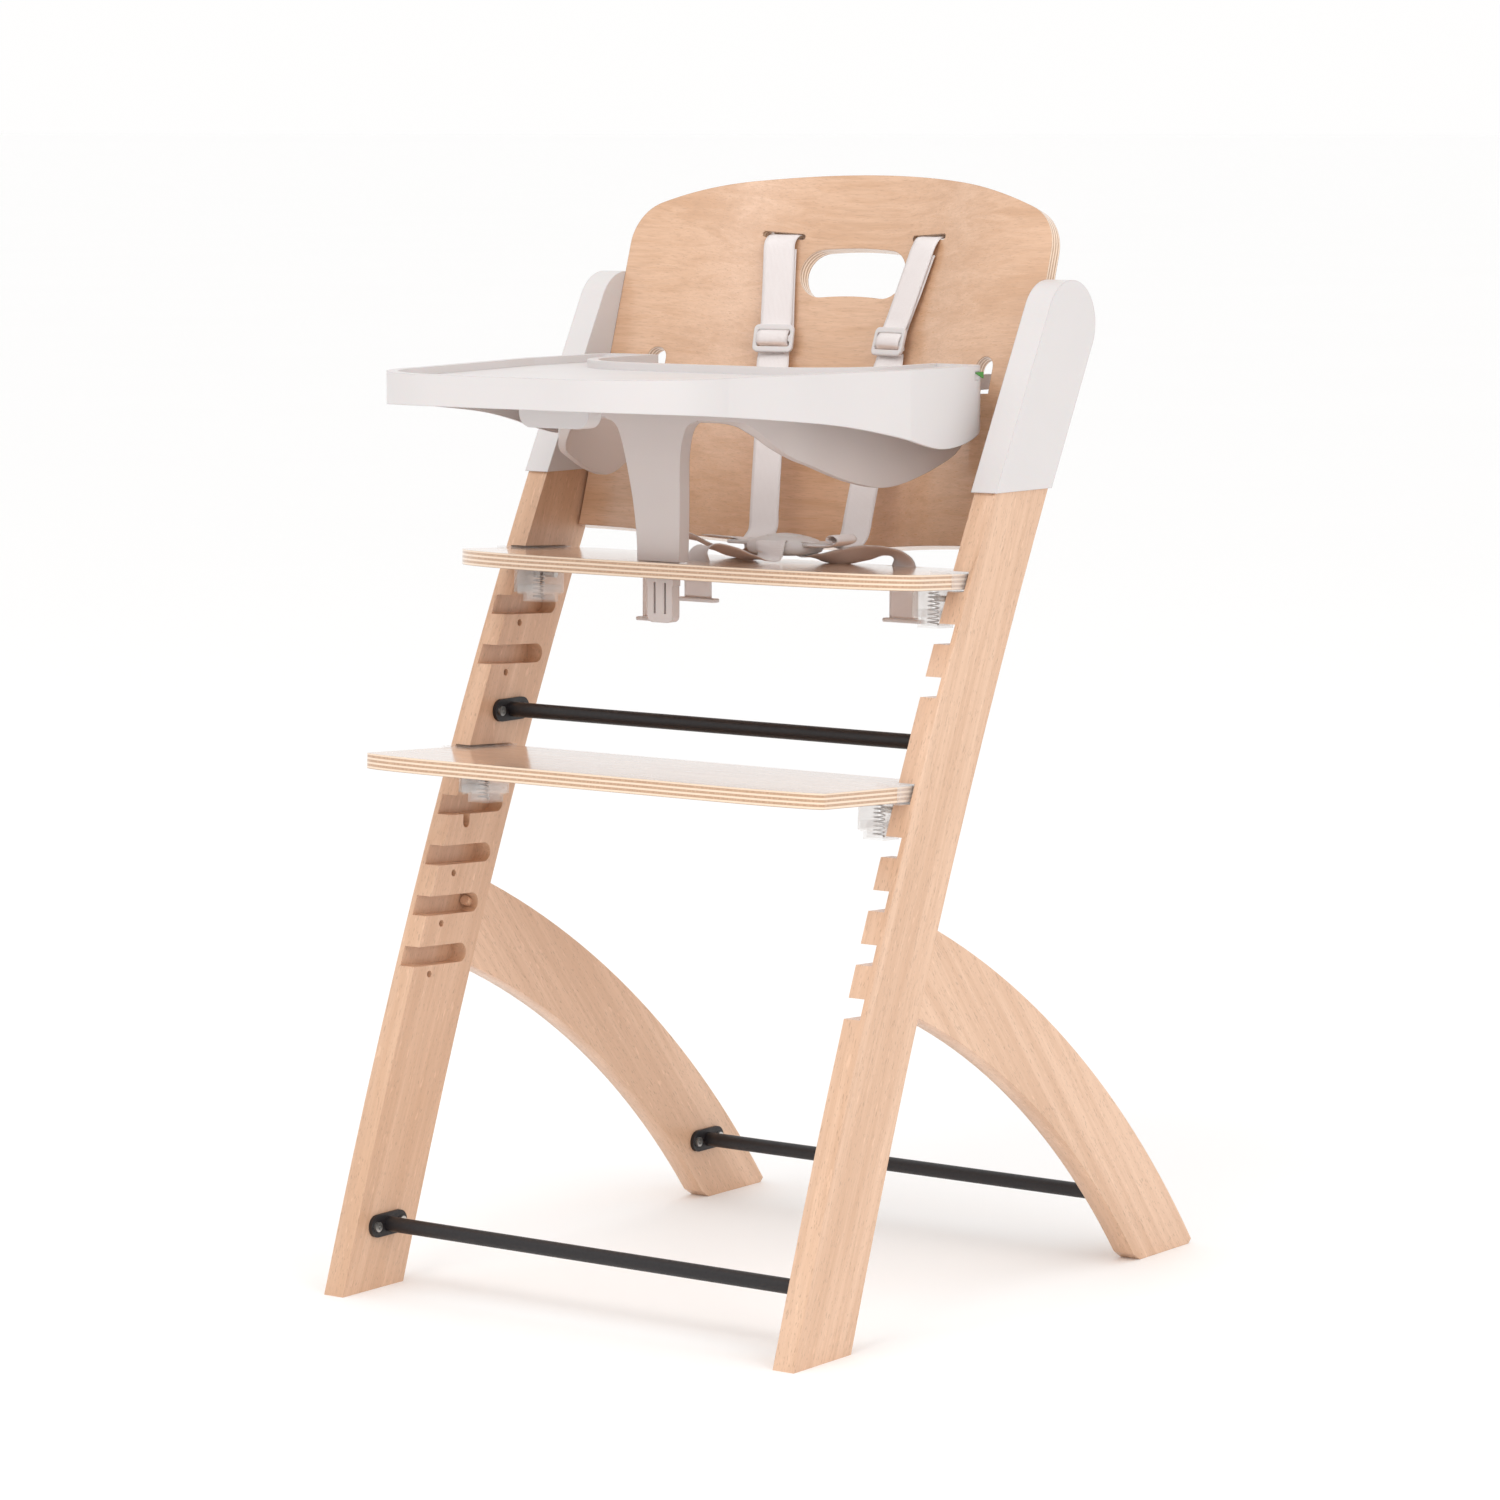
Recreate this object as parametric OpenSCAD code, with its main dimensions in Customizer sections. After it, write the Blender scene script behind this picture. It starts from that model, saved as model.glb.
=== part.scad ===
// Baby high chair: beech frame, moulded plywood backrest, height-adjustable seat and footrest,
// belly guard with centre post, sliding tray and a five-point harness.
// Millimetres, +Z up, the child faces -Y, X runs across the chair, Z = 0 is the floor.

/* [Frame] */
// Clear width between the two uprights
gap_w = 415; // [380:1:440]
// Thickness of the uprights and rear legs
wood_t = 19; // [16:0.5:25]
// Horizontal depth of an upright, front to back
up_d = 74.4; // [60:0.2:90]
// Backward lean of the uprights, run over rise
rake = 0.411; // [0.3:0.001:0.5]
// Forward bow of the uprights
up_bow = 11; // [4:0.5:20]
// Height over which the bow is measured
up_bow_h = 585; // [500:5:700]
// Height where the wood of an upright ends inside its cap
up_h = 744; // [700:1:790]
// Front end of a rear leg's foot, behind the front of the upright's foot
foot_y1 = 481; // [430:1:520]
// Rear end of a rear leg's foot
foot_y2 = 569; // [530:1:600]
// Height of the lower edge of the leg joint
leg_z1 = 243; // [220:1:260]
// Height of the upper edge of the leg joint
leg_z2 = 307; // [290:1:330]
// Bow height of the leg's upper curve
leg_bow_top = 30; // [20:1:50]
// Bow height of the leg's lower curve
leg_bow_low = 26; // [15:1:45]

/* [Caps] */
// Lower edge of the plastic caps
cap_z = 635; // [600:1:660]
// Top of the plastic caps
cap_top = 795; // [760:1:820]
// Wall of a cap
cap_t = 2; // [1.5:0.1:4]

/* [Slots] */
// Top of the highest slot
slot_z0 = 576.8; // [560:0.1:590]
// Distance from one slot to the next
slot_pitch = 38.86; // [30:0.02:45]
// Height of a slot
slot_h = 15.4; // [13:0.1:18]
// Straight length of a slot behind the upright's front edge
slot_len = 54.5; // [45:0.5:62]
// Depth of a slot into the upright
slot_cut = 14.5; // [10:0.5:16]
// Backward tilt of the slots and of the boards in them
slot_tilt = 3; // [0:0.1:7]
// Number of slot positions in the pattern
slot_n = 9; // [5:1:10]
// Position in the pattern that is left solid for the middle bar
slot_skip = 3; // [1:1:6]
// Position that holds the footrest
slot_foot = 4; // [2:1:8]

/* [Boards] */
// Thickness of the seat and footrest plywood
ply_t = 12; // [9:0.5:18]
// Front edge of the seat
seat_y1 = 122; // [110:1:200]
// Rear edge of the seat
seat_y2 = 310; // [290:1:320]
// Seat front corners, along X and along Y
seat_rx = 140; // [20:1:180]
// Seat front corners along Y
seat_ry = 56; // [10:1:80]
// Front edge of the footrest
foot_f1 = 36; // [30:1:100]
// Rear edge of the footrest
foot_f2 = 213; // [190:1:228]
// Footrest front corners along X
foot_rx = 90; // [10:1:150]
// Footrest front corners along Y
foot_ry = 14; // [5:1:60]

/* [Backrest] */
// Height of the backrest's lower edge
back_z = 590; // [560:1:620]
// Position of the side edges at the lower edge
back_y = 304; // [290:1:320]
// Lean of the backrest in degrees
back_a = 17.5; // [10:0.1:25]
// Length of the backrest along its slope
back_l = 308.5; // [250:0.5:330]
// Depth of the curve in the backrest
back_bow = 34; // [10:1:45]
// Thickness of the backrest plywood
back_t = 12; // [9:0.5:15]
// Corner radius at the top of the backrest
back_r = 38; // [20:1:60]
// Radius of the backrest's top arch
back_top_r = 493; // [400:1:1200]

/* [Crossbars] */
// Diameter of the steel crossbars
bar_d = 12; // [10:0.5:16]
// Length of a flange
flange_l = 44; // [36:1:56]
// Width of a flange
flange_w = 18; // [14:1:24]
// Thickness of a flange
flange_t = 3; // [2:0.5:5]

/* [Guard] */
// Height of the guard rail's top edge
guard_z = 720.7; // [700:0.1:730]
// Wall of the guard rail
guard_t = 6; // [4:0.5:10]
// Width of the centre post
post_w = 40; // [40:1:44]
// Front face of the centre post
post_y = 138; // [120:1:170]

/* [Tray] */
// Height of the tray's rim
tray_z = 730; // [715:1:740]
// Half width of the tray at its arms
tray_w2 = 186; // [150:1:196]
// Half width of the tray at its front corners
tray_w1 = 150; // [140:1:190]
// Front edge of the tray
tray_y1 = -60; // [-90:1:-20]
// Rear end of the tray's arms
tray_y2 = 318; // [290:1:330]
// Front corner radius of the tray
tray_r = 84; // [40:1:110]
// Wall of the tray
tray_t = 3; // [2:0.5:5]

/* [Harness] */
// Width of the webbing
web_w = 27; // [20:1:30]
// Thickness of the webbing
web_t = 1.6; // [1:0.1:3]

/* [Output] */
// Which piece is drawn

/* [Hidden] */

$fn = 64;
e = 0.01;
xi = gap_w / 2;
y_mid = 253.2;                // moves the whole chair so that its box is centred on Y = 0

// Circle through two points with a given bow height, bowed towards the upper right
function chord(a, b) = norm(b - a);
function bow_r(a, b, s) = chord(a, b) * chord(a, b) / (8 * s) + s / 2;
function bow_c(a, b, s) = (a + b) / 2
  - [a[1] - b[1], b[0] - a[0]] / chord(a, b) * (bow_r(a, b, s) - s);

// The uprights' front edge is an arc; the rear edge is the same arc further back
up_b = [rake * up_bow_h, up_bow_h];
up_c = bow_c([0, 0], up_b, up_bow);
up_r = bow_r([0, 0], up_b, up_bow);
function front_y(z) = up_c[0] - sqrt(up_r * up_r - (z - up_c[1]) * (z - up_c[1]));
function rear_y(z) = front_y(z) + up_d;
function lean_at(z) = atan((z - up_c[1]) / (up_c[0] - front_y(z)));

// Slot heights, and the boards that lie in them
function slot_top(n) = slot_z0 - slot_pitch * n;
function slot_mid(n) = slot_top(n) - slot_h / 2;
function slot_front(n) = front_y(slot_mid(n));
clip_gap = 0.2;
clip_wall = 1.4;
function board_z(n) = slot_top(n) - slot_h + clip_gap + clip_wall + 0.1;
board_half = xi + 11.5;
pin_back = 22.3;
pin_down = 6.9;
notch_w = 8;

// Colours
beech = "#e0b48c";
ply = "#dcae80";
shell = "#ece4e1";
metal = "#c8c8c8";
black = "#1c1a1b";
clear = "#dfe3e6";
web = "#eae2df";

// Chair frame of reference
module chair() { translate([0, -y_mid, 0]) children(); }
// Turns a (Y, Z) drawing into a slab that starts at x and is w wide
module slab(x, w) { translate([x, 0, 0]) rotate([90, 0, 90]) linear_extrude(w) children(); }
module side(s) { if (s < 0) mirror([1, 0, 0]) children(); else children(); }

// ---------- frame ----------
// The band of an upright between two heights, g wider at front and rear
module band(g, z1, z2) {
  difference() {
    intersection() {
      translate(up_c) circle(r = up_r + g, $fn = 1200);
      translate([-60, z1]) square([700, z2 - z1]);
    }
    translate(up_c + [up_d, 0]) circle(r = up_r - g, $fn = 1200);
  }
}
// Tilts a (Y, Z) drawing, or a solid, about the mouth of slot n
module slot_turn(n) {
  translate([slot_front(n), slot_mid(n)]) rotate(-slot_tilt)
    translate([-slot_front(n), -slot_mid(n)]) children();
}
module in_slot(n) {
  translate([0, slot_front(n), slot_mid(n)]) rotate([-slot_tilt, 0, 0])
    translate([0, -slot_front(n), -slot_mid(n)]) children();
}
module slot_shape(n) {
  slot_turn(n) {
    translate([slot_front(n) - 30, slot_mid(n) - slot_h / 2])
      square([30 + slot_len, slot_h]);
    translate([slot_front(n) + slot_len, slot_mid(n)]) circle(d = slot_h);
  }
}
function pin_at(n) = [front_y(slot_top(n) - slot_h - pin_down) + pin_back,
  slot_top(n) - slot_h - pin_down];
module upright() {
  difference() {
    slab(xi, wood_t) band(0, 0, up_h);
    for (n = [0 : slot_n - 1]) if (n != slot_skip) {
      slab(xi - 1, slot_cut + 1) slot_shape(n);
      slab(xi - 1, 11) slot_turn(n) translate(pin_at(n)) circle(d = 5.6, $fn = 32);
    }
    // the hole below the footrest's slot opens upwards into the next slot
    slab(xi - 1, 11) slot_turn(slot_foot + 1) translate(pin_at(slot_foot + 1)) {
      circle(d = notch_w, $fn = 40);
      translate([-notch_w / 2, 0]) square([notch_w, pin_down + 2]);
    }
    for (b = [0, 1]) bar_sockets(b);
    leg_dowel_shape(0.05);
    cap_screw_shape(0.05);
  }
}
// Blind holes for the flange screws
module bar_sockets(b) {
  for (k = [-1, 1]) translate([xi - 1, bar_pos(b)[0] + k * screw_off, bar_pos(b)[1]])
    rotate([0, 90, 0]) cylinder(d = 3.1, h = 13.1, $fn = 24);
}
screw_off = 15;
function bar_pos(b) = b == 0 ? [54.4, 50.3] : b == 1 ? [214.7, 445.9] : [481.6, 51.3];

la = [rear_y(leg_z2), leg_z2];
lb = [foot_y2, 0];
lc = [rear_y(leg_z1), leg_z1];
ld = [foot_y1, 0];
module leg_shape() {
  difference() {
    intersection() {
      translate(bow_c(la, lb, leg_bow_top)) circle(r = bow_r(la, lb, leg_bow_top), $fn = 200);
      translate(up_c + [up_d, 0]) circle(r = up_r, $fn = 1200);
      polygon([[up_d, 0], [up_d, 330], [foot_y2 + 40, 330], [foot_y2 + 40, 60],
        [foot_y2 - 1, 5], [foot_y2 - 7, 0]]);
    }
    translate(bow_c(lc, ld, leg_bow_low)) circle(r = bow_r(lc, ld, leg_bow_low), $fn = 200);
    polygon([[foot_y1 - 30, -1], [foot_y1 + 7, -1], [foot_y1 - 8, 8]]);
  }
}
module rear_leg() {
  difference() {
    slab(xi, wood_t) leg_shape();
    bar_sockets(2);
    leg_dowel_shape(0.05);
  }
}
// Dowels through the joint, square to the upright's rear face
module leg_dowel_shape(c) {
  for (z = [leg_z1 + 18, leg_z2 - 18])
    translate([xi + wood_t / 2, rear_y(z), z]) rotate([-90 - lean_at(z), 0, 0])
      translate([0, 0, -16 - c]) cylinder(d = 8 + 2 * c, h = 34 + 2 * c, $fn = 32);
}

// ---------- caps ----------
cap_x1 = xi - cap_t;
cap_w = wood_t + 2 * cap_t;
cap_over = 2.4;
cap_a = lean_at(cap_top - 35);
cap_r = (up_d + 2 * cap_over) * cos(cap_a) / 2;
cap_cz = cap_top - cap_r;
cap_cy = front_y(cap_cz) + up_d / 2;
module cap_shape() {
  polygon([[front_y(cap_z) - cap_over, cap_z], [rear_y(cap_z) + cap_over, cap_z],
    [cap_cy + cap_r * cos(cap_a), cap_cz - cap_r * sin(cap_a)],
    [cap_cy - cap_r * cos(cap_a), cap_cz + cap_r * sin(cap_a)]]);
  translate([cap_cy, cap_cz]) circle(r = cap_r, $fn = 96);
}
module cap() {
  difference() {
    slab(cap_x1, cap_w) cap_shape();
    slab(xi - 0.05, wood_t + 0.1) band(0.1, cap_z - 5, up_h + 0.5);
    cap_screw_shape(0.05);
  }
}
// Screws that run through the upright into the backrest's edges, hidden inside the caps
module cap_screw_shape(c) {
  for (z = [668, 716]) translate([backrest_half - 22, screw_y(z), z]) rotate([0, 90, 0]) {
    cylinder(d = 5 + 2 * c, h = 22 + wood_t + 1.9, $fn = 32);
    translate([0, 0, 22 + wood_t - 1.6 - c]) cylinder(d = 9 + 2 * c, h = 3.5 + 2 * c, $fn = 32);
  }
}
function screw_y(z) = back_y + (z - back_z) * tan(back_a) + back_t / 2 / cos(back_a);

// ---------- backrest ----------
backrest_half = xi - cap_t - 0.2;
bq = backrest_half / 2;
b_r = (bq * bq + back_bow * back_bow / 4) / back_bow;
b_a = asin(bq / b_r);
b_n = 14;
// One face of the plan section: concave in the middle, easing into flat side edges
function mid_arc(t) = [for (i = [-b_n : b_n])
  [(b_r + t) * sin(i * b_a / b_n), back_bow - b_r + (b_r + t) * cos(i * b_a / b_n)]];
function side_arc(s, t) = [for (i = [1 : b_n])
  [s * (2 * bq - (b_r - t) * sin(b_a - i * b_a / b_n)), b_r - (b_r - t) * cos(b_a - i * b_a / b_n)]];
function backwards(p) = [for (i = [len(p) - 1 : -1 : 0]) p[i]];
function plan_face(t) = concat(backwards(side_arc(-1, t)), mid_arc(t), side_arc(1, t));
module backrest_plan() {
  polygon(concat(plan_face(0), backwards(plan_face(back_t))));
}
// Corner arcs touch both the straight sides and the top arch
corner_x = backrest_half - back_r;
corner_z = back_l - back_top_r + sqrt(pow(back_top_r - back_r, 2) - corner_x * corner_x);
corner_a = acos(corner_x / (back_top_r - back_r));
function arc_pts(c, r, a1, a2, n) = [for (i = [0 : n])
  [c[0] + r * cos(a1 + (a2 - a1) * i / n), c[1] + r * sin(a1 + (a2 - a1) * i / n)]];
module backrest_outline() {
  difference() {
    polygon(concat([[-backrest_half, 0], [backrest_half, 0]],
      arc_pts([corner_x, corner_z], back_r, 0, corner_a, 12),
      arc_pts([0, back_l - back_top_r], back_top_r, corner_a, 180 - corner_a, 40),
      arc_pts([-corner_x, corner_z], back_r, 180 - corner_a, 180, 12)));
    // hand hole: arched, with round ends
    polygon(concat(
      arc_pts([0, hand_z - hand_r], hand_r + hand_h / 2, 90 - hand_a, 90 + hand_a, 12),
      arc_pts([-hand_r * sin(hand_a), hand_z - hand_r + hand_r * cos(hand_a)], hand_h / 2,
        100 + hand_a, 260 + hand_a, 14),
      arc_pts([0, hand_z - hand_r], hand_r - hand_h / 2, 90 + hand_a, 90 - hand_a, 12),
      arc_pts([hand_r * sin(hand_a), hand_z - hand_r + hand_r * cos(hand_a)], hand_h / 2,
        -80 - hand_a, 80 - hand_a, 14)));
    // shoulder strap slots
    for (s = [-1, 1]) translate([s * sh_x, sh_s]) polygon(concat(
      arc_pts([16, 0], 2.5, -90, 90, 8), arc_pts([-16, 0], 2.5, 90, 270, 8)));
    // openings for the guard's tongues
    for (s = [-1, 1]) translate([s * 160, 122.5]) polygon(concat([[-8.5, 0], [8.5, 0]],
      arc_pts([0, 21.5], 8.5, 0, 180, 16)));
  }
}
hand_r = 260;
hand_h = 40;
hand_a = 6.9;
hand_z = 227;
sh_x = 71;
sh_s = 254.6;
module in_back() { translate([0, back_y, back_z]) rotate([-back_a, 0, 0]) children(); }
module backrest() {
  difference() {
    in_back() intersection() {
      translate([0, 0, -5]) linear_extrude(back_l + 20) backrest_plan();
      translate([0, 70, 0]) rotate([90, 0, 0]) linear_extrude(80) backrest_outline();
    }
    for (s = [-1, 1]) side(s) cap_screw_shape(0.05);
  }
}

// ---------- crossbars ----------
module crossbar(b) {
  translate([-xi + flange_t + 0.1, bar_pos(b)[0], bar_pos(b)[1]]) rotate([0, 90, 0])
    cylinder(d = bar_d, h = 2 * (xi - flange_t - 0.1));
}
module flanges() {
  for (b = [0 : 2], s = [-1, 1]) side(s)
    translate([0, bar_pos(b)[0], bar_pos(b)[1]]) difference() {
      slab(xi - flange_t, flange_t) {
        square([flange_l - flange_w, flange_w], center = true);
        for (k = [-1, 1]) translate([k * (flange_l - flange_w) / 2, 0]) circle(d = flange_w);
      }
      for (k = [-1, 1]) translate([xi - 5, k * screw_off, 0]) rotate([0, 90, 0])
        cylinder(d = 4.2, h = 8, $fn = 32);
    }
}
module bar_screw_set() {
  for (b = [0 : 2], s = [-1, 1], k = [-1, 1]) side(s)
    translate([xi - flange_t - 2.2, bar_pos(b)[0] + k * screw_off, bar_pos(b)[1]])
      rotate([0, 90, 0]) difference() {
        union() {
          cylinder(d = 8, h = 2.2, $fn = 32);
          cylinder(d = 3, h = 16, $fn = 24);
        }
        for (a = [0, 90]) rotate([0, 0, a]) translate([-2.2, -0.5, -1]) cube([4.4, 1, 2.4]);
      }
}

// ---------- boards ----------
module board_shape(y1, y2, rx, ry, n) {
  polygon(concat(
    [for (i = [0 : 24]) [board_half - rx + rx * sin(i * 3.75), y1 + ry - ry * cos(i * 3.75)]],
    [for (s = [1, -1]) [s * board_half, slot_front(n) + slot_len - 1.8]],
    [for (i = [24 : -1 : 0]) [-board_half + rx - rx * sin(i * 3.75), y1 + ry - ry * cos(i * 3.75)]]));
  translate([-xi + 3.5, y1 + ry]) square([2 * xi - 7, y2 - 20 - y1 - ry]);
  translate([-xi + 23.5, y1 + ry]) square([2 * xi - 47, y2 - y1 - ry]);
  for (s = [-1, 1]) translate([s * (xi - 23.5), y2 - 20]) circle(r = 20, $fn = 64);
}
// Height of the seat's tilted faces at a distance from the front; h is the face's height at its slot
function seat_z(y, h) = slot_mid(0) + (h - slot_mid(0)) / cos(slot_tilt)
  - (y - slot_front(0)) * tan(slot_tilt);
lap_x = 121;
lap_y = 297;
crotch_y = 190;
module seat_board() {
  in_slot(0) difference() {
    translate([0, 0, board_z(0)]) linear_extrude(ply_t) difference() {
      board_shape(seat_y1, seat_y2, seat_rx, seat_ry, 0);
      for (s = [-1, 1]) strap_slot(s * lap_x, lap_y);
      strap_slot(0, crotch_y);
      // opening for the foot of the guard's post
      translate([-foot_w / 2 - 0.3, post_y + 0.7]) square([foot_w + 0.6, 13.4]);
    }
  }
}
module strap_slot(x, y) {
  translate([x, y]) square([30, 5], center = true);
  for (k = [-1, 1]) translate([x + k * 15, y]) circle(d = 5, $fn = 24);
}
module footrest_board() {
  in_slot(slot_foot) translate([0, 0, board_z(slot_foot)]) linear_extrude(ply_t)
    board_shape(foot_f1, foot_f2, foot_rx, foot_ry, slot_foot);
}

// ---------- clear end clips with their lock ----------
clip_h = slot_h - 2 * clip_gap;
clip_x2 = xi + slot_cut - 0.5;
house_x1 = xi - 30;
house_x2 = xi - 1.6;
house_len = 34;
house_h = 23;
function house_y(n) = slot_front(n) - 12;
module clip(n) {
  zb = board_z(n);
  yf = slot_front(n);
  difference() {
    union() {
      translate([xi - 8, yf - 16, zb - 0.1 - clip_wall])
        cube([clip_x2 - xi + 8, 16 + slot_len - 1.2, clip_h]);
      // housing below the board
      translate([0, house_y(n), zb - 0.1 - house_h]) {
        translate([house_x1 + 8, 0, 0]) cube([house_x2 - house_x1 - 8, house_len, house_h]);
        translate([house_x1, 8, 0]) cube([house_x2 - house_x1, house_len - 16, house_h]);
        for (y = [8, house_len - 8]) translate([house_x1 + 8, y, 0]) cylinder(r = 8, h = house_h);
      }
    }
    // channel that holds the board's edge
    translate([xi - 20, yf - 30, zb - 0.1])
      cube([20 + board_half - xi + 0.15, 60 + slot_len, ply_t + 0.2]);
    // room for the button
    translate([house_x1 + 1.6, house_y(n) + 1.6, zb - 30])
      cube([house_x2 - house_x1 - 3.2, house_len - 3.2, 30 - 0.1 - clip_wall - 0.1]);
    // bore for the pin
    translate([house_x2 - 3, pin_at(n)[0], pin_at(n)[1]]) rotate([0, 90, 0])
      cylinder(d = 5.1, h = 6, $fn = 32);
  }
}
button_z = -30.5;
module button(n) {
  translate([0, house_y(n), board_z(n)]) difference() {
    union() {
      translate([house_x1 + 2 + 6, 2, button_z + 6])
        cube([house_x2 - house_x1 - 4 - 6, house_len - 4, 8]);
      translate([house_x1 + 2, 2 + 6, button_z + 6])
        cube([house_x2 - house_x1 - 4, house_len - 16, 8]);
      for (y = [8, house_len - 8]) translate([house_x1 + 8, y, button_z + 6])
        cylinder(r = 6, h = 8);
      translate([house_x1 + 5, 6, button_z]) cube([house_x2 - house_x1 - 10, house_len - 12, 8]);
    }
    translate([house_x1 + 7, 8, button_z + 1.6])
      cube([house_x2 - house_x1 - 14, house_len - 16, 20]);
  }
}
module pin(n) {
  translate([house_x2 - 21.4, pin_at(n)[0], pin_at(n)[1]]) rotate([0, 90, 0])
    cylinder(d = 5, h = xi - 0.3 - house_x2 + 21.4, $fn = 32);
}
// Coil spring between the button's floor and the clip's roof
coil_r = 4.2;
wire_r = 0.55;
coil_turns = 6;
coil_steps = 16;
wire_steps = 6;
function coil_pt(i, j, h) = let (a = 360 * i / coil_steps, b = 360 * j / wire_steps)
  [(coil_r + wire_r * cos(b)) * cos(a), (coil_r + wire_r * cos(b)) * sin(a),
   h * i / (coil_steps * coil_turns) + wire_r * sin(b)];
module spring(n) {
  k = coil_steps * coil_turns;
  h = 25.6;
  m = wire_steps;
  translate([house_x1 + 14, house_y(n) + 14, board_z(n) + button_z + 2.2])
    polyhedron(
      points = [for (i = [0 : k], j = [0 : m - 1]) coil_pt(i, j, h)],
      faces = concat(
        [for (i = [0 : k - 1], j = [0 : m - 1])
          [i * m + j, i * m + (j + 1) % m, (i + 1) * m + (j + 1) % m, (i + 1) * m + j]],
        [[for (j = [0 : m - 1]) m - 1 - j]], [[for (j = [0 : m - 1]) k * m + j]]));
}

// ---------- guard ----------
g_back = [160, 338];
g_r = 62;
g_front = 129;
g_n = [-cos(14), sin(14)];
g_cx = g_back[0] - (g_r - g_n[1] * (g_front + g_r - g_back[1])) / -g_n[0];
g_c = [g_cx, g_front + g_r];
module guard_plan(w) {
  // outline of the rail at wall offset w
  p1 = g_c - g_n * (g_r - w);
  p2 = g_back + g_n * w;
  polygon([[-p2[0], p2[1]], [-p1[0], p1[1]], [-g_c[0], g_front + w], [g_c[0], g_front + w],
    p1, p2]);
  for (s = [-1, 1]) translate([s * g_c[0], g_c[1]]) circle(r = g_r - w, $fn = 96);
}
// Smooth curve through points of a drawing
function curve_pt(a, b, c, d, t) = 0.5 * (2 * b + (c - a) * t + (2 * a - 5 * b + 4 * c - d) * t * t
  + (3 * b - a - 3 * c + d) * t * t * t);
function smooth(p, n) = let (m = len(p) - 1) concat(
  [for (i = [0 : m - 1], k = [0 : n - 1])
    curve_pt(p[max(i - 1, 0)], p[i], p[i + 1], p[min(i + 2, m)], k / n)], [p[m]]);
module guard_side() {
  // rail, and the fin that hangs from it, seen from the side
  polygon(concat(smooth([[100, 690.6], [131, 690.6], [141, 681], [149, 671], [161, 662], [177, 655.5],
    [205, 645], [230, 638.5], [246, 636.8], [264, 639], [283, 644.5], [300, 651], [318, 660],
    [330, 675], [340, 698]], 4), [[345, guard_z], [100, guard_z]]));
}
post_d = 12.4;
foot_w = 24;
module post_front() {
  h = smooth([[20, 570], [20.2, 590], [20.9, 604], [22.8, 630], [26.5, 662], [31, 680],
    [36.5, 687.5], [44, 690.6], [46, 701]], 4);
  polygon(concat(h, [for (i = [len(h) - 1 : -1 : 0]) [-h[i][0], h[i][1]]]));
}
module post_side() {
  h = smooth([[post_y, 570], [post_y, 590], [post_y - 0.4, 606], [post_y - 2.6, 631],
    [post_y - 7, 662], [g_front + 0.4, 682], [g_front, 690], [g_front, 701]], 4);
  polygon(concat(h, [for (i = [len(h) - 1 : -1 : 0]) [h[i][0] + post_d, h[i][1]]]));
}
module guard_bar() {
  zs = seat_z(post_y, board_z(0) + ply_t);
  zu = seat_z(post_y + 14, board_z(0));
  difference() {
    union() {
      intersection() {
        translate([0, 0, 600]) linear_extrude(guard_z - 600) difference() {
          guard_plan(0);
          translate([0, e]) guard_plan(guard_t);
          translate([-200, g_back[1] - 1]) square([400, 20]);
        }
        slab(-200, 400) guard_side();
      }
      // tongues through the backrest
      for (s = [-1, 1]) translate([s * 160 - 3, g_back[1] - 8, 709]) cube([6, 30, guard_z - 709]);
      // centre post, flared into the rail and leaning forward to it
      intersection() {
        translate([0, post_y + 40, 0]) rotate([90, 0, 0]) linear_extrude(80) post_front();
        slab(-80, 160) post_side();
        translate([-80, 0, zs + 0.2]) cube([160, 300, 200]);
      }
      // foot that goes through the seat and snaps below it
      translate([-foot_w / 2, post_y + 2, zs - 42]) cube([foot_w, 9.4, 46]);
      translate([-foot_w / 2 + 5, post_y + 2, zs - 47]) cube([foot_w - 10, 9.4, 10]);
      for (s = [-1, 1]) {
        translate([s * (foot_w / 2 - 5), post_y + 11.4, zs - 42]) rotate([90, 0, 0])
          cylinder(r = 5, h = 9.4, $fn = 48);
        translate([s * foot_w / 2 - 0.9, post_y + 2, zu - 6]) cube([1.8, 9.4, 5.6]);
      }
    }
    // hollow post, open to the rear
    translate([-post_w / 2 + 3, post_y + 3, zs + 4]) cube([post_w - 6, 20, 44]);
    // slits of the snap foot
    for (s = [-1, 1]) translate([s * 5 - 0.9, post_y - 5, zs - 40]) cube([1.8, 30, 24]);
  }
}

// ---------- tray ----------
module tray_plan(w) {
  r = tray_r - w;
  intersection() {
    union() {
      polygon([[-tray_w2 + w, tray_y2 - 18], [-tray_w2 + w, 210], [-tray_w1 + w, tray_y1 + tray_r],
        [-tray_w1 + tray_r, tray_y1 + w], [tray_w1 - tray_r, tray_y1 + w],
        [tray_w1 - w, tray_y1 + tray_r], [tray_w2 - w, 210], [tray_w2 - w, tray_y2 - 18]]);
      for (s = [-1, 1]) {
        translate([s * (tray_w1 - tray_r), tray_y1 + tray_r]) circle(r = r, $fn = 96);
        translate([s * (tray_w2 - 18), tray_y2 - 18]) circle(r = 18 - w, $fn = 48);
      }
      translate([-tray_w2 + 18, tray_y2 - 30]) square([2 * tray_w2 - 36, 30 - w]);
    }
    translate([0, 900 + tray_y1 - 5 + w]) circle(r = 900, $fn = 200);
  }
}
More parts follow.
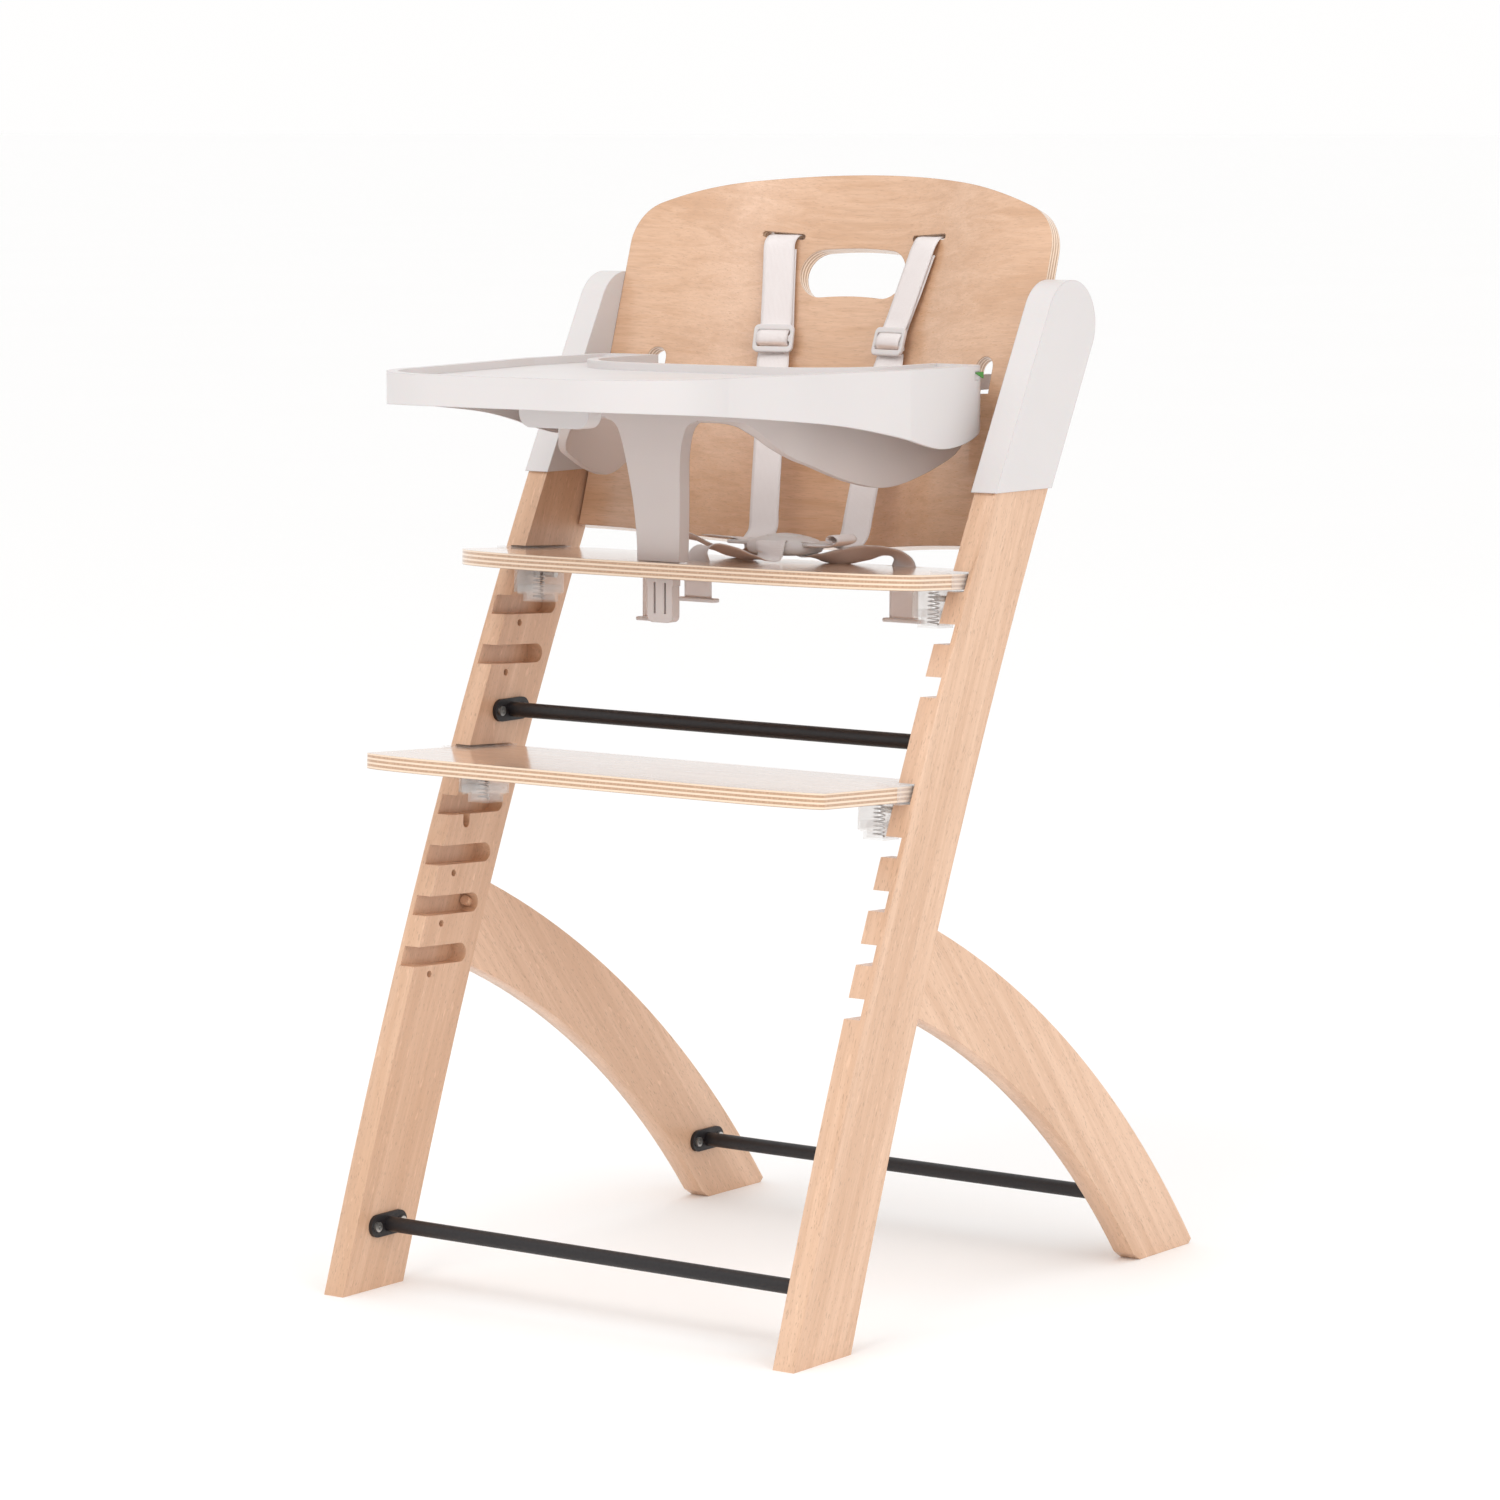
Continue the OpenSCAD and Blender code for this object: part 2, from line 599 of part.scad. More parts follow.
// Space for the child between the arms
cut_w = 134;
cut_y = 192;
cut_r = 70;
module tray_cut(w) {
  translate([-cut_w - w, cut_y + cut_r]) square([2 * (cut_w + w), 200]);
  translate([-cut_w + cut_r, cut_y - w]) square([2 * (cut_w - cut_r), 200]);
  for (s = [-1, 1]) translate([s * (cut_w - cut_r), cut_y + cut_r]) circle(r = cut_r + w, $fn = 96);
}
module tray_low_edge() {
  // region kept by the skirt, seen from the side
  polygon(concat(smooth([[-100, 708], [-60, 706.5], [0, 703], [73, 697], [139, 690], [190, 681],
    [226, 672.5], [250, 668], [272, 668.5], [292, 672.5], [310, 680.5], [330, 694]], 4),
    [[330, 760], [-100, 760]]));
}
module tray() {
  difference() {
    intersection() {
      translate([0, 0, 640]) linear_extrude(tray_z - 640) difference() {
        tray_plan(0);
        tray_cut(0);
      }
      slab(-200, 400) tray_low_edge();
    }
    // open underside
    translate([0, 0, 640]) linear_extrude(tray_z - 6 - tray_t - 640) difference() {
      tray_plan(tray_t);
      tray_cut(tray_t);
    }
    // dished top
    translate([0, 0, tray_z - 6]) linear_extrude(20) difference() {
      tray_plan(9);
      tray_cut(9);
    }
    // inner skirt is cut short above the guard rail
    translate([0, 0, 640]) linear_extrude(guard_z - 640 + 1.5)
      intersection() {
        tray_cut(6);
        translate([-cut_w - 6, cut_y - 10]) square([2 * cut_w + 12, 300]);
      }
    // lock windows
    for (s = [-1, 1]) side(s) translate([tray_w2 - 1.8, win_y, win_z]) cube([20, 14, 7]);
    // mouths for the guard's arms at the rear ends
    for (s = [-1, 1]) translate([s * (tray_w2 - 30) - 21, tray_y2 - 5, 640])
      cube([42, 20, guard_z - 640 + 1.5]);
    // pocket that the release lever slides in
    translate([-lever_w / 2 - 0.4, lever_y - 12, tray_z - 6 - tray_t - 2])
      cube([lever_w + 0.8, 46, 3]);
  }
  // guides of the release lever
  for (s = [-1, 1]) translate([s * (lever_w / 2 + 1.9) - 1.5, lever_y - 10, 708])
    cube([3, 42, tray_z - 6 - tray_t - 708 + 1]);
}
win_y = 298;
win_z = 718.5;
module lock_indicator_set() {
  for (s = [-1, 1]) side(s) translate([tray_w2 - 1.8, win_y + 0.4, win_z + 0.4])
    cube([0.9, 13.2, 6.2]);
}
lever_w = 66;
lever_y = 8;
module tray_lever() {
  // pull tab: round lower corners, its web runs up between the guides
  translate([0, lever_y, 0]) {
    translate([0, 16, 0]) rotate([90, 0, 0]) linear_extrude(16) {
      for (s = [-1, 1]) translate([s * (lever_w / 2 - 11), 689 + 11]) circle(r = 11, $fn = 48);
      translate([-lever_w / 2 + 11, 689]) square([lever_w - 22, 22]);
      translate([-lever_w / 2, 700]) square([lever_w, 20]);
    }
    translate([-lever_w / 2, 0, 714]) cube([lever_w, 30, 6]);
  }
}

// ---------- harness ----------
// Ribbon along X that follows points (Y, Z)
module ribbon(p, w) {
  for (i = [0 : len(p) - 2]) {
    d = p[i + 1] - p[i];
    l = norm(d);
    n = [-d[1], d[0]] / l * web_t / 2;
    slab(-w / 2, w) {
      polygon([p[i] + n, p[i] - n, p[i + 1] - n, p[i + 1] + n]);
      translate(p[i + 1]) circle(d = web_t, $fn = 16);
    }
  }
}
function face_y(z) = back_y + (z - back_z) * tan(back_a) + 28;
// A point of the backrest from its depth and its distance up the back
function back_pt(d, l) = [back_y + d * cos(back_a) + l * sin(back_a),
  back_z - d * sin(back_a) + l * cos(back_a)];
sl_z = back_z + sh_s * cos(back_a) - 24 * sin(back_a);
adj_z = 742;
// Sideways lean of each strap: upper left, upper right, lower left, lower right
up_lean = [-9, 11];
low_lean = [-24.5, -2];
low_x = [-58, 55];
module leaning(x, z, a) { translate([x, 0, z]) rotate([0, a, 0]) translate([0, 0, -z]) children(); }
module strap_upper(k) {
  leaning((2 * k - 1) * sh_x, sl_z, up_lean[k])
    ribbon([back_pt(18.4, sh_s), [face_y(sl_z) - 9, sl_z - 9], [face_y(adj_z) - 5, adj_z]], web_w);
  in_back() translate([(2 * k - 1) * sh_x - web_w / 2, 18.4, sh_s - web_t / 2]) cube([web_w, 25.6, web_t]);
}
module strap_lower(k) {
  leaning(low_x[k], adj_z, low_lean[k])
    ribbon([[face_y(adj_z) - 8.4, adj_z - 19.4], [face_y(700) - 8, 700],
      [face_y(660) - 11, 660], [313, 616], [301, 608]], web_w);
}
module shoulder_stop_set() {
  in_back() for (s = [-1, 1]) translate([s * sh_x - 21, 44.2, sh_s - 4]) cube([42, 3, 8]);
}
module adjuster_set() {
  for (k = [0, 1]) translate([low_x[k] - 18, face_y(adj_z) - 11.4, adj_z - 12]) difference() {
    cube([36, 3.6, 26]);
    for (z = [4, 15]) translate([3.5, -1, z]) cube([29, 10, 7]);
  }
}
buckle_x = 32;
buckle_y = 262;
buckle_z = 588;
module buckle_body() {
  translate([buckle_x, 0, 0]) difference() {
    union() {
      translate([0, buckle_y, buckle_z - 9]) cylinder(d = 46, h = 18);
      translate([-16, buckle_y - 30, buckle_z - 7]) cube([32, 20, 14]);
    }
    translate([0, buckle_y, buckle_z + 4]) cylinder(d = 24.4, h = 10);
    translate([-13.8, buckle_y - 40, buckle_z - 1.5]) cube([27.6, 18, 3]);
    for (s = [-1, 1]) translate([s * 23 - 8, buckle_y - 12.3, buckle_z - 2.4])
      cube([16, 24.6, 4.8]);
  }
}
module buckle_button() {
  translate([buckle_x, buckle_y, buckle_z + 7.4]) cylinder(d = 24, h = 3.2);
}
module buckle_tongue_set() {
  for (s = [-1, 1]) translate([buckle_x, 0, 0]) side(s)
    translate([15.4, buckle_y - 12, buckle_z - 2]) difference() {
      union() {
        cube([14, 24, 4]);
        translate([12, -2, 0]) cube([16, 50, 4]);
      }
      translate([20.6, 1, -1]) cube([3.8, 20, 6]);
      translate([15, 26, -1]) cube([10, 19, 6]);
    }
}
module lap_strap(s) {
  zt = board_z(0) + ply_t;
  x2 = buckle_x + s * 35.4;
  low = board_z(0) - (s > 0 ? 32 : 44);
  translate([s * lap_x - web_w / 2, lap_y - web_t / 2, low]) cube([web_w, web_t, zt + 34 - low]);
  translate([s * lap_x - web_w / 2, lap_y - web_t / 2 - 30, zt + 32.4])
    cube([web_w, 31, web_t]);
  translate([min(x2, s * lap_x), lap_y - 20.4, zt + 32.4]) cube([abs(s * lap_x - x2), 18, web_t]);
  translate([x2 - web_t / 2, lap_y - 20.4, buckle_z]) cube([web_t, 18, zt + 33.9 - buckle_z]);
}
module crotch() {
  zt = board_z(0) + ply_t;
  translate([buckle_x / 2, 0, 0]) {
    translate([-buckle_x / 2, 0, 0])
      ribbon([[crotch_y, board_z(0) - 14], [crotch_y, zt + 5]], 26);
    translate([-13 - buckle_x / 2, crotch_y - web_t / 2, zt + 5]) cube([26 + buckle_x, 14, web_t]);
    translate([buckle_x / 2, 0, 0])
      ribbon([[crotch_y + 13, zt + 5.8], [buckle_y - 36, buckle_z], [buckle_y - 24, buckle_z]], 26);
  }
}
module stop_set() {
  for (s = [-1, 1]) translate([s * lap_x - 19, lap_y - 4, board_z(0) - (s > 0 ? 35.4 : 47.4)])
    cube([38, 8, 3]);
  translate([-19, crotch_y - 4, board_z(0) - 17.4]) cube([38, 8, 3]);
}

// ---------- pieces ----------
module n_upright_left() { color(beech) chair() side(-1) upright(); }
module n_upright_right() { color(beech) chair() side(1) upright(); }
module n_rear_leg_left() { color(beech) chair() side(-1) rear_leg(); }
module n_rear_leg_right() { color(beech) chair() side(1) rear_leg(); }
module n_cap_left() { color(shell) chair() side(-1) cap(); }
module n_cap_right() { color(shell) chair() side(1) cap(); }
module n_backrest() { color(ply) chair() backrest(); }
module n_bar_front() { color(black) chair() crossbar(0); }
module n_bar_middle() { color(black) chair() crossbar(1); }
module n_bar_rear() { color(black) chair() crossbar(2); }
module n_bar_flanges() { color(black) chair() flanges(); }
module n_bar_screws() { color(metal) chair() bar_screw_set(); }
module n_leg_dowels() { color(beech) chair() for (s = [-1, 1]) side(s) leg_dowel_shape(0); }
module n_backrest_screws() { color(metal) chair() for (s = [-1, 1]) side(s) cap_screw_shape(0); }
module n_shoulder_strap_upper_left() { color(web) chair() strap_upper(0); }
module n_shoulder_strap_upper_right() { color(web) chair() strap_upper(1); }
module n_shoulder_stops() { color(shell) chair() shoulder_stop_set(); }
module n_strap_adjusters() { color(shell) chair() adjuster_set(); }
module n_seat_board() { color(ply) chair() seat_board(); }
module n_seat_clip_left() { color(clear) chair() side(-1) in_slot(0) clip(0); }
module n_seat_clip_right() { color(clear) chair() side(1) in_slot(0) clip(0); }
module n_seat_spring_left() { color(metal) chair() side(-1) in_slot(0) spring(0); }
module n_seat_spring_right() { color(metal) chair() side(1) in_slot(0) spring(0); }
module n_guard_bar() { color(shell) chair() guard_bar(); }
module n_lock_indicators() { color("#5aa84c") chair() lock_indicator_set(); }
module n_crotch_strap() { color(web) chair() crotch(); }
module n_lap_strap_left() { color(web) chair() lap_strap(-1); }
module n_lap_strap_right() { color(web) chair() lap_strap(1); }
module n_shoulder_strap_lower_left() { color(web) chair() strap_lower(0); }
module n_shoulder_strap_lower_right() { color(web) chair() strap_lower(1); }
module n_strap_stops() { color(shell) chair() stop_set(); }
module n_buckle_body() { color(shell) chair() buckle_body(); }
module n_buckle_tongues() { color(shell) chair() buckle_tongue_set(); }
module n_buckle_button() { color(shell) chair() buckle_button(); }
module n_seat_button_left() { color(clear) chair() side(-1) in_slot(0) button(0); }
module n_seat_button_right() { color(clear) chair() side(1) in_slot(0) button(0); }
module n_seat_pin_left() { color(metal) chair() side(-1) in_slot(0) pin(0); }
module n_seat_pin_right() { color(metal) chair() side(1) in_slot(0) pin(0); }
module n_footrest_board() { color(ply) chair() footrest_board(); }
module n_foot_clip_left() { color(clear) chair() side(-1) in_slot(slot_foot) clip(slot_foot); }
module n_foot_clip_right() { color(clear) chair() side(1) in_slot(slot_foot) clip(slot_foot); }
module n_foot_spring_left() { color(metal) chair() side(-1) in_slot(slot_foot) spring(slot_foot); }
module n_foot_spring_right() { color(metal) chair() side(1) in_slot(slot_foot) spring(slot_foot); }
module n_foot_button_left() { color(clear) chair() side(-1) in_slot(slot_foot) button(slot_foot); }
module n_foot_button_right() { color(clear) chair() side(1) in_slot(slot_foot) button(slot_foot); }
module n_foot_pin_left() { color(metal) chair() side(-1) in_slot(slot_foot) pin(slot_foot); }
module n_foot_pin_right() { color(metal) chair() side(1) in_slot(slot_foot) pin(slot_foot); }
module n_tray() { color(shell) chair() tray(); }
module n_tray_lever() { color(shell) chair() tray_lever(); }

n_upright_left();  // upright_left
n_upright_right();  // upright_right
n_rear_leg_left();  // rear_leg_left
n_rear_leg_right();  // rear_leg_right
n_cap_left();  // cap_left
n_cap_right();  // cap_right
n_backrest();  // backrest
n_bar_front();  // bar_front
n_bar_middle();  // bar_middle
n_bar_rear();  // bar_rear
n_bar_flanges();  // bar_flanges
n_bar_screws();  // bar_screws
n_leg_dowels();  // leg_dowels
n_backrest_screws();  // backrest_screws
n_shoulder_strap_upper_left();  // shoulder_strap_upper_left
n_shoulder_strap_upper_right();  // shoulder_strap_upper_right
n_shoulder_stops();  // shoulder_stops
n_strap_adjusters();  // strap_adjusters
n_seat_board();  // seat_board
n_seat_clip_left();  // seat_clip_left
n_seat_clip_right();  // seat_clip_right
n_seat_spring_left();  // seat_spring_left
n_seat_spring_right();  // seat_spring_right
n_guard_bar();  // guard_bar
n_lock_indicators();  // lock_indicators
n_crotch_strap();  // crotch_strap
n_lap_strap_left();  // lap_strap_left
n_lap_strap_right();  // lap_strap_right
n_shoulder_strap_lower_left();  // shoulder_strap_lower_left
n_shoulder_strap_lower_right();  // shoulder_strap_lower_right
n_strap_stops();  // strap_stops
n_buckle_body();  // buckle_body
n_buckle_tongues();  // buckle_tongues
n_buckle_button();  // buckle_button
n_seat_button_left();  // seat_button_left
n_seat_button_right();  // seat_button_right
n_seat_pin_left();  // seat_pin_left
n_seat_pin_right();  // seat_pin_right
n_footrest_board();  // footrest_board
n_foot_clip_left();  // foot_clip_left
n_foot_clip_right();  // foot_clip_right
n_foot_spring_left();  // foot_spring_left
n_foot_spring_right();  // foot_spring_right
n_foot_button_left();  // foot_button_left
n_foot_button_right();  // foot_button_right
n_foot_pin_left();  // foot_pin_left
n_foot_pin_right();  // foot_pin_right
n_tray();  // tray
n_tray_lever();  // tray_lever
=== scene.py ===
import bpy, bmesh, math
from mathutils import Vector, Matrix


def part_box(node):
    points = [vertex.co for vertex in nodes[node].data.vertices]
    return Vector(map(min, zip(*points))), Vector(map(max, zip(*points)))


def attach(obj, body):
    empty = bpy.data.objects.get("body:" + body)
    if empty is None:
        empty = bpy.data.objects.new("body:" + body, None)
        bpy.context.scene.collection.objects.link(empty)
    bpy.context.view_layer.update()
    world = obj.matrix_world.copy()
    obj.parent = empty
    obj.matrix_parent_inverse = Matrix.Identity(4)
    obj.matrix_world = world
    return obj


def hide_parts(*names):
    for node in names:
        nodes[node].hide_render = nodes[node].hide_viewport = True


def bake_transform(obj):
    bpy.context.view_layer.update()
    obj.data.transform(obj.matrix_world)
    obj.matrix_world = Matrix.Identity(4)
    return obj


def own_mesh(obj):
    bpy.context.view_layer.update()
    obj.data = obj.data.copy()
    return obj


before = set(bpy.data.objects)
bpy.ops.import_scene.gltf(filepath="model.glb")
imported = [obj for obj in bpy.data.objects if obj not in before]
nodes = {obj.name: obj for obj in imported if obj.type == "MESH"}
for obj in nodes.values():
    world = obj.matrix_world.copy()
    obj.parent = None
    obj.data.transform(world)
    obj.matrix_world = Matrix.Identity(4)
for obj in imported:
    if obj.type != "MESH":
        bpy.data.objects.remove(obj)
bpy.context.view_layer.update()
Y0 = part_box("upright_right")[0][1]
UPRIGHT_RAKE = 0.411
# the boards lie in their slots, lower at the rear; UP stands on their faces
TILT = math.radians(3)
UP = (0, math.sin(TILT), math.cos(TILT))
# the backrest's lean, its front face's place at mid-width, half width and bow (mm); FRONT faces the child
LEAN_BACK = math.radians(17.5)
BACK_Y, BACK_Z, BACK_HALF, BACK_BOW = 304, 590, 205.3, 34.0
PLY = 0.012
FRONT = (0, -math.cos(LEAN_BACK), math.sin(LEAN_BACK))


def P(x, y, z):
    """A point of the chair in millimetres, y counted from the front of the feet."""
    return Vector((x / 1000, Y0 + y / 1000, z / 1000))


# ---------------------------------------------------------------- camera, light, floor
cam = bpy.data.objects.new("camera", bpy.data.cameras.new("camera"))
bpy.context.collection.objects.link(cam)
cam.location = (2.4290, Y0 - 3.1076, 0.9147)
cam.rotation_euler = (math.pi / 2 - 0.118, 0, 0.625)
cam.data.lens = 126.61
cam.data.sensor_width = 36
cam.data.clip_end = 900
bpy.context.scene.camera = cam
bpy.context.scene.view_settings.view_transform = "Standard"

world = bpy.data.worlds.new("studio")
bpy.context.scene.world = world
world.use_nodes = True
world.node_tree.nodes["Background"].inputs[0].default_value = (1, 0.995, 0.99, 1)
world.node_tree.nodes["Background"].inputs[1].default_value = 1.0


def area(name, loc, target, size, power, colour=(1, 1, 1)):
    l = bpy.data.lights.new(name, "AREA")
    l.shape = "DISK"
    l.size = size
    l.energy = power
    l.color = colour
    o = bpy.data.objects.new(name, l)
    o.location = loc
    o.rotation_euler = (Vector(target) - Vector(loc)).to_track_quat("-Z", "Y").to_euler()
    bpy.context.collection.objects.link(o)
    return o


area("key", (0.1, -2.3, 3.2), (0, 0, 0.4), 1.8, 26)
area("fill", (2.6, -0.9, 1.6), (0, 0, 0.4), 1.8, 12)


# ---------------------------------------------------------------- node helpers
class Mat:
    def __init__(self, name):
        self.m = bpy.data.materials.new(name)
        self.m.use_nodes = True
        self.t = self.m.node_tree
        self.b = self.t.nodes["Principled BSDF"]
        self.co = self.n("ShaderNodeTexCoord").outputs["Object"]

    def n(self, kind, ins=None, **props):
        node = self.t.nodes.new(kind)
        for k, v in props.items():
            setattr(node, k, v)
        for k, v in (ins or {}).items():
            self.put(node.inputs[k], v)
        return node

    def put(self, sock, v):
        if isinstance(v, bpy.types.NodeSocket):
            self.t.links.new(v, sock)
        elif isinstance(v, (tuple, list)) and len(v) == 3 and sock.type == "RGBA":
            sock.default_value = (*v, 1)
        else:
            sock.default_value = v

    def math(self, op, a, b=0.0, c=0.0, clamp=False):
        return self.n("ShaderNodeMath", {0: a, 1: b, 2: c}, operation=op, use_clamp=clamp).outputs[0]

    def map(self, v, a, b, c, d, smooth=False):
        r = self.n("ShaderNodeMapRange", {"Value": v, "From Min": a, "From Max": b, "To Min": c, "To Max": d},
                   interpolation_type="SMOOTHSTEP" if smooth else "LINEAR")
        return r.outputs[0]

    def noise(self, vec, scale, detail=2.0, rough=0.5, dist=0.0):
        return self.n("ShaderNodeTexNoise", {"Vector": vec, "Scale": scale, "Detail": detail,
                                             "Roughness": rough, "Distortion": dist}).outputs[0]

    def place(self, vec, rot=(0, 0, 0), scale=(1, 1, 1), loc=(0, 0, 0)):
        return self.n("ShaderNodeMapping", {"Vector": vec, "Rotation": rot, "Scale": scale,
                                            "Location": loc}).outputs[0]

    def mix(self, f, a, b, blend="MIX"):
        r = self.n("ShaderNodeMix", data_type="RGBA", blend_type=blend)
        self.put(r.inputs[0], f)
        self.put(r.inputs[6], a)
        self.put(r.inputs[7], b)
        return r.outputs[2]

    def xyz(self, vec):
        return self.n("ShaderNodeSeparateXYZ", {0: vec}).outputs

    def bump(self, h, dist, strength=1.0, under=None):
        ins = {"Height": h, "Distance": dist, "Strength": strength}
        if under is not None:
            ins["Normal"] = under
        return self.n("ShaderNodeBump", ins).outputs[0]

    def arris(self, radius):
        """A normal that rounds the sharp edges off."""
        return self.n("ShaderNodeBevel", {"Radius": radius}, samples=6).outputs[0]

    def set(self, **kw):
        names = {"color": "Base Color", "rough": "Roughness", "metal": "Metallic", "normal": "Normal",
                 "coat": "Coat Weight", "coat_rough": "Coat Roughness", "sheen": "Sheen Weight",
                 "sheen_rough": "Sheen Roughness", "trans": "Transmission Weight", "ior": "IOR",
                 "spec": "Specular IOR Level", "alpha": "Alpha", "sss": "Subsurface Weight",
                 "sss_scale": "Subsurface Scale"}
        for k, v in kw.items():
            self.put(self.b.inputs[names[k]], v)
        return self


def beech(name, rot, light=(0.80, 0.535, 0.37), deep=(0.645, 0.395, 0.25), offset=0.0):
    """Lacquered beech; rot turns object space so that the grain runs along Z."""
    m = Mat(name)
    v = m.place(m.co, rot=rot, loc=(offset, offset * 1.7, offset * 0.4))
    slow = m.noise(m.place(v, scale=(9, 9, 1.1)), 1.0, 3.0, 0.55, 0.4)
    band = m.noise(m.place(v, scale=(95, 95, 3.2)), 1.0, 3.0, 0.6, 0.15)
    fine = m.noise(m.place(v, scale=(620, 620, 16)), 1.0, 2.0, 0.6)
    fleck = m.noise(m.place(v, scale=(1150, 1150, 190)), 1.0, 1.0, 0.5)
    fleck = m.map(fleck, 0.61, 0.71, 0.0, 1.0, True)
    ray = m.noise(m.place(v, scale=(300, 300, 75), loc=(3, 1, 2)), 1.0, 1.0, 0.5)
    ray = m.map(ray, 0.66, 0.76, 0.0, 1.0, True)
    f = m.math("ADD", m.math("MULTIPLY", slow, 0.55), m.math("MULTIPLY", band, 0.45))
    col = m.mix(m.map(f, 0.36, 0.64, 0.0, 1.0, True), light, deep)
    col = m.mix(m.math("MULTIPLY", m.map(fine, 0.35, 0.75, 0.0, 1.0), 0.22), col,
                tuple(c * 0.72 for c in deep))
    col = m.mix(m.math("MULTIPLY", fleck, 0.42), col, tuple(c * 0.5 for c in deep))
    col = m.mix(m.math("MULTIPLY", ray, 0.3), col, tuple(min(1, c * 1.18) for c in light))
    h = m.math("SUBTRACT", m.math("MULTIPLY", fine, 0.4), fleck)
    m.set(color=col, rough=m.map(fine, 0.3, 0.7, 0.34, 0.46), normal=m.bump(h, 0.00006),
          spec=0.5, coat=0.35, coat_rough=0.2)
    return m.m


def plastic(name, col=(0.675, 0.64, 0.632), rough=0.42):
    """Satin moulded plastic with a fine spark-eroded skin."""
    m = Mat(name)
    skin = m.noise(m.co, 2600.0, 2.0, 0.6)
    cloud = m.noise(m.co, 14.0, 2.0, 0.5)
    c = m.mix(m.map(cloud, 0.35, 0.65, 0.0, 1.0, True), col, tuple(x * 0.985 for x in col))
    m.set(color=c, rough=m.map(skin, 0.3, 0.7, rough - 0.03, rough + 0.05), 
          normal=m.bump(skin, 0.00002, under=m.arris(0.0012)), sss=0.06, sss_scale=0.004)
    return m.m


def plywood(name, place_in, depth, across, light=(0.72, 0.475, 0.32), deep=(0.59, 0.36, 0.23), layers=7,
            coat=1.0, coat_rough=0.11):
    """Lacquered beech plywood: face grain along X; depth(m) gives metres below the face for the layers,
    which show only on edges, where the surface turns away from the direction across."""
    m = Mat(name)
    v = m.place(m.co, **place_in)
    slow = m.noise(m.place(v, scale=(4.0, 17, 17)), 1.0, 4.0, 0.6, 0.9)
    band = m.noise(m.place(v, scale=(7.5, 110, 110)), 1.0, 3.0, 0.65, 0.9)
    fine = m.noise(m.place(v, scale=(22, 560, 560)), 1.0, 2.0, 0.6)
    fleck = m.noise(m.place(v, scale=(110, 1300, 1300)), 1.0, 1.0, 0.5)
    fleck = m.map(fleck, 0.60, 0.70, 0.0, 1.0, True)
    f = m.math("ADD", m.math("MULTIPLY", slow, 0.5), m.math("MULTIPLY", band, 0.5))
    col = m.mix(m.map(f, 0.38, 0.62, 0.0, 1.0, True), light, deep)
    col = m.mix(m.math("MULTIPLY", m.map(fine, 0.4, 0.7, 0.0, 1.0), 0.25), col, tuple(c * 0.7 for c in deep))
    col = m.mix(m.math("MULTIPLY", fleck, 0.28), col, tuple(c * 0.6 for c in deep))
    # edge: veneers cut along and across the grain in turn, with glue lines between them
    d = m.math("ADD", depth(m), m.math("MULTIPLY", m.noise(m.place(v, scale=(9, 9, 9)), 1.0), 0.0006))
    k = m.math("DIVIDE", d, PLY / layers)
    cross = m.math("GREATER_THAN", m.math("FRACT", m.math("MULTIPLY", k, 0.5)), 0.5)
    glue = m.math("ABSOLUTE", m.math("SUBTRACT", m.math("FRACT", m.math("ADD", k, 0.5)), 0.5))
    glue = m.map(glue, 0.0, 0.12, 1.0, 0.0, True)
    pores = m.noise(m.place(v, scale=(700, 700, 260)), 1.0, 2.0, 0.6)
    end = m.mix(m.map(pores, 0.35, 0.65, 0.0, 1.0), (0.42, 0.225, 0.12), (0.56, 0.335, 0.20))
    turn = m.n("ShaderNodeVectorMath", {0: m.n("ShaderNodeTexCoord").outputs["Normal"], 1: across},
               operation="DOT_PRODUCT").outputs["Value"]
    inside = m.map(m.math("ABSOLUTE", turn), 0.6, 0.75, 1.0, 0.0)
    col = m.mix(m.math("MULTIPLY", inside, 0.8), col, (0.93, 0.74, 0.56))
    col = m.mix(m.math("MULTIPLY", m.math("MULTIPLY", cross, inside), 0.9), col, end)
    col = m.mix(m.math("MULTIPLY", m.math("MULTIPLY", glue, inside), 0.6), col, (0.30, 0.165, 0.095))
    h = m.math("SUBTRACT", m.math("MULTIPLY", fine, 0.4), fleck)
    m.set(color=col, rough=m.map(fine, 0.3, 0.7, 0.26, 0.38), spec=0.55, coat=coat, coat_rough=coat_rough,
          normal=m.bump(h, 0.00004, under=m.arris(0.0014)))
    return m.m


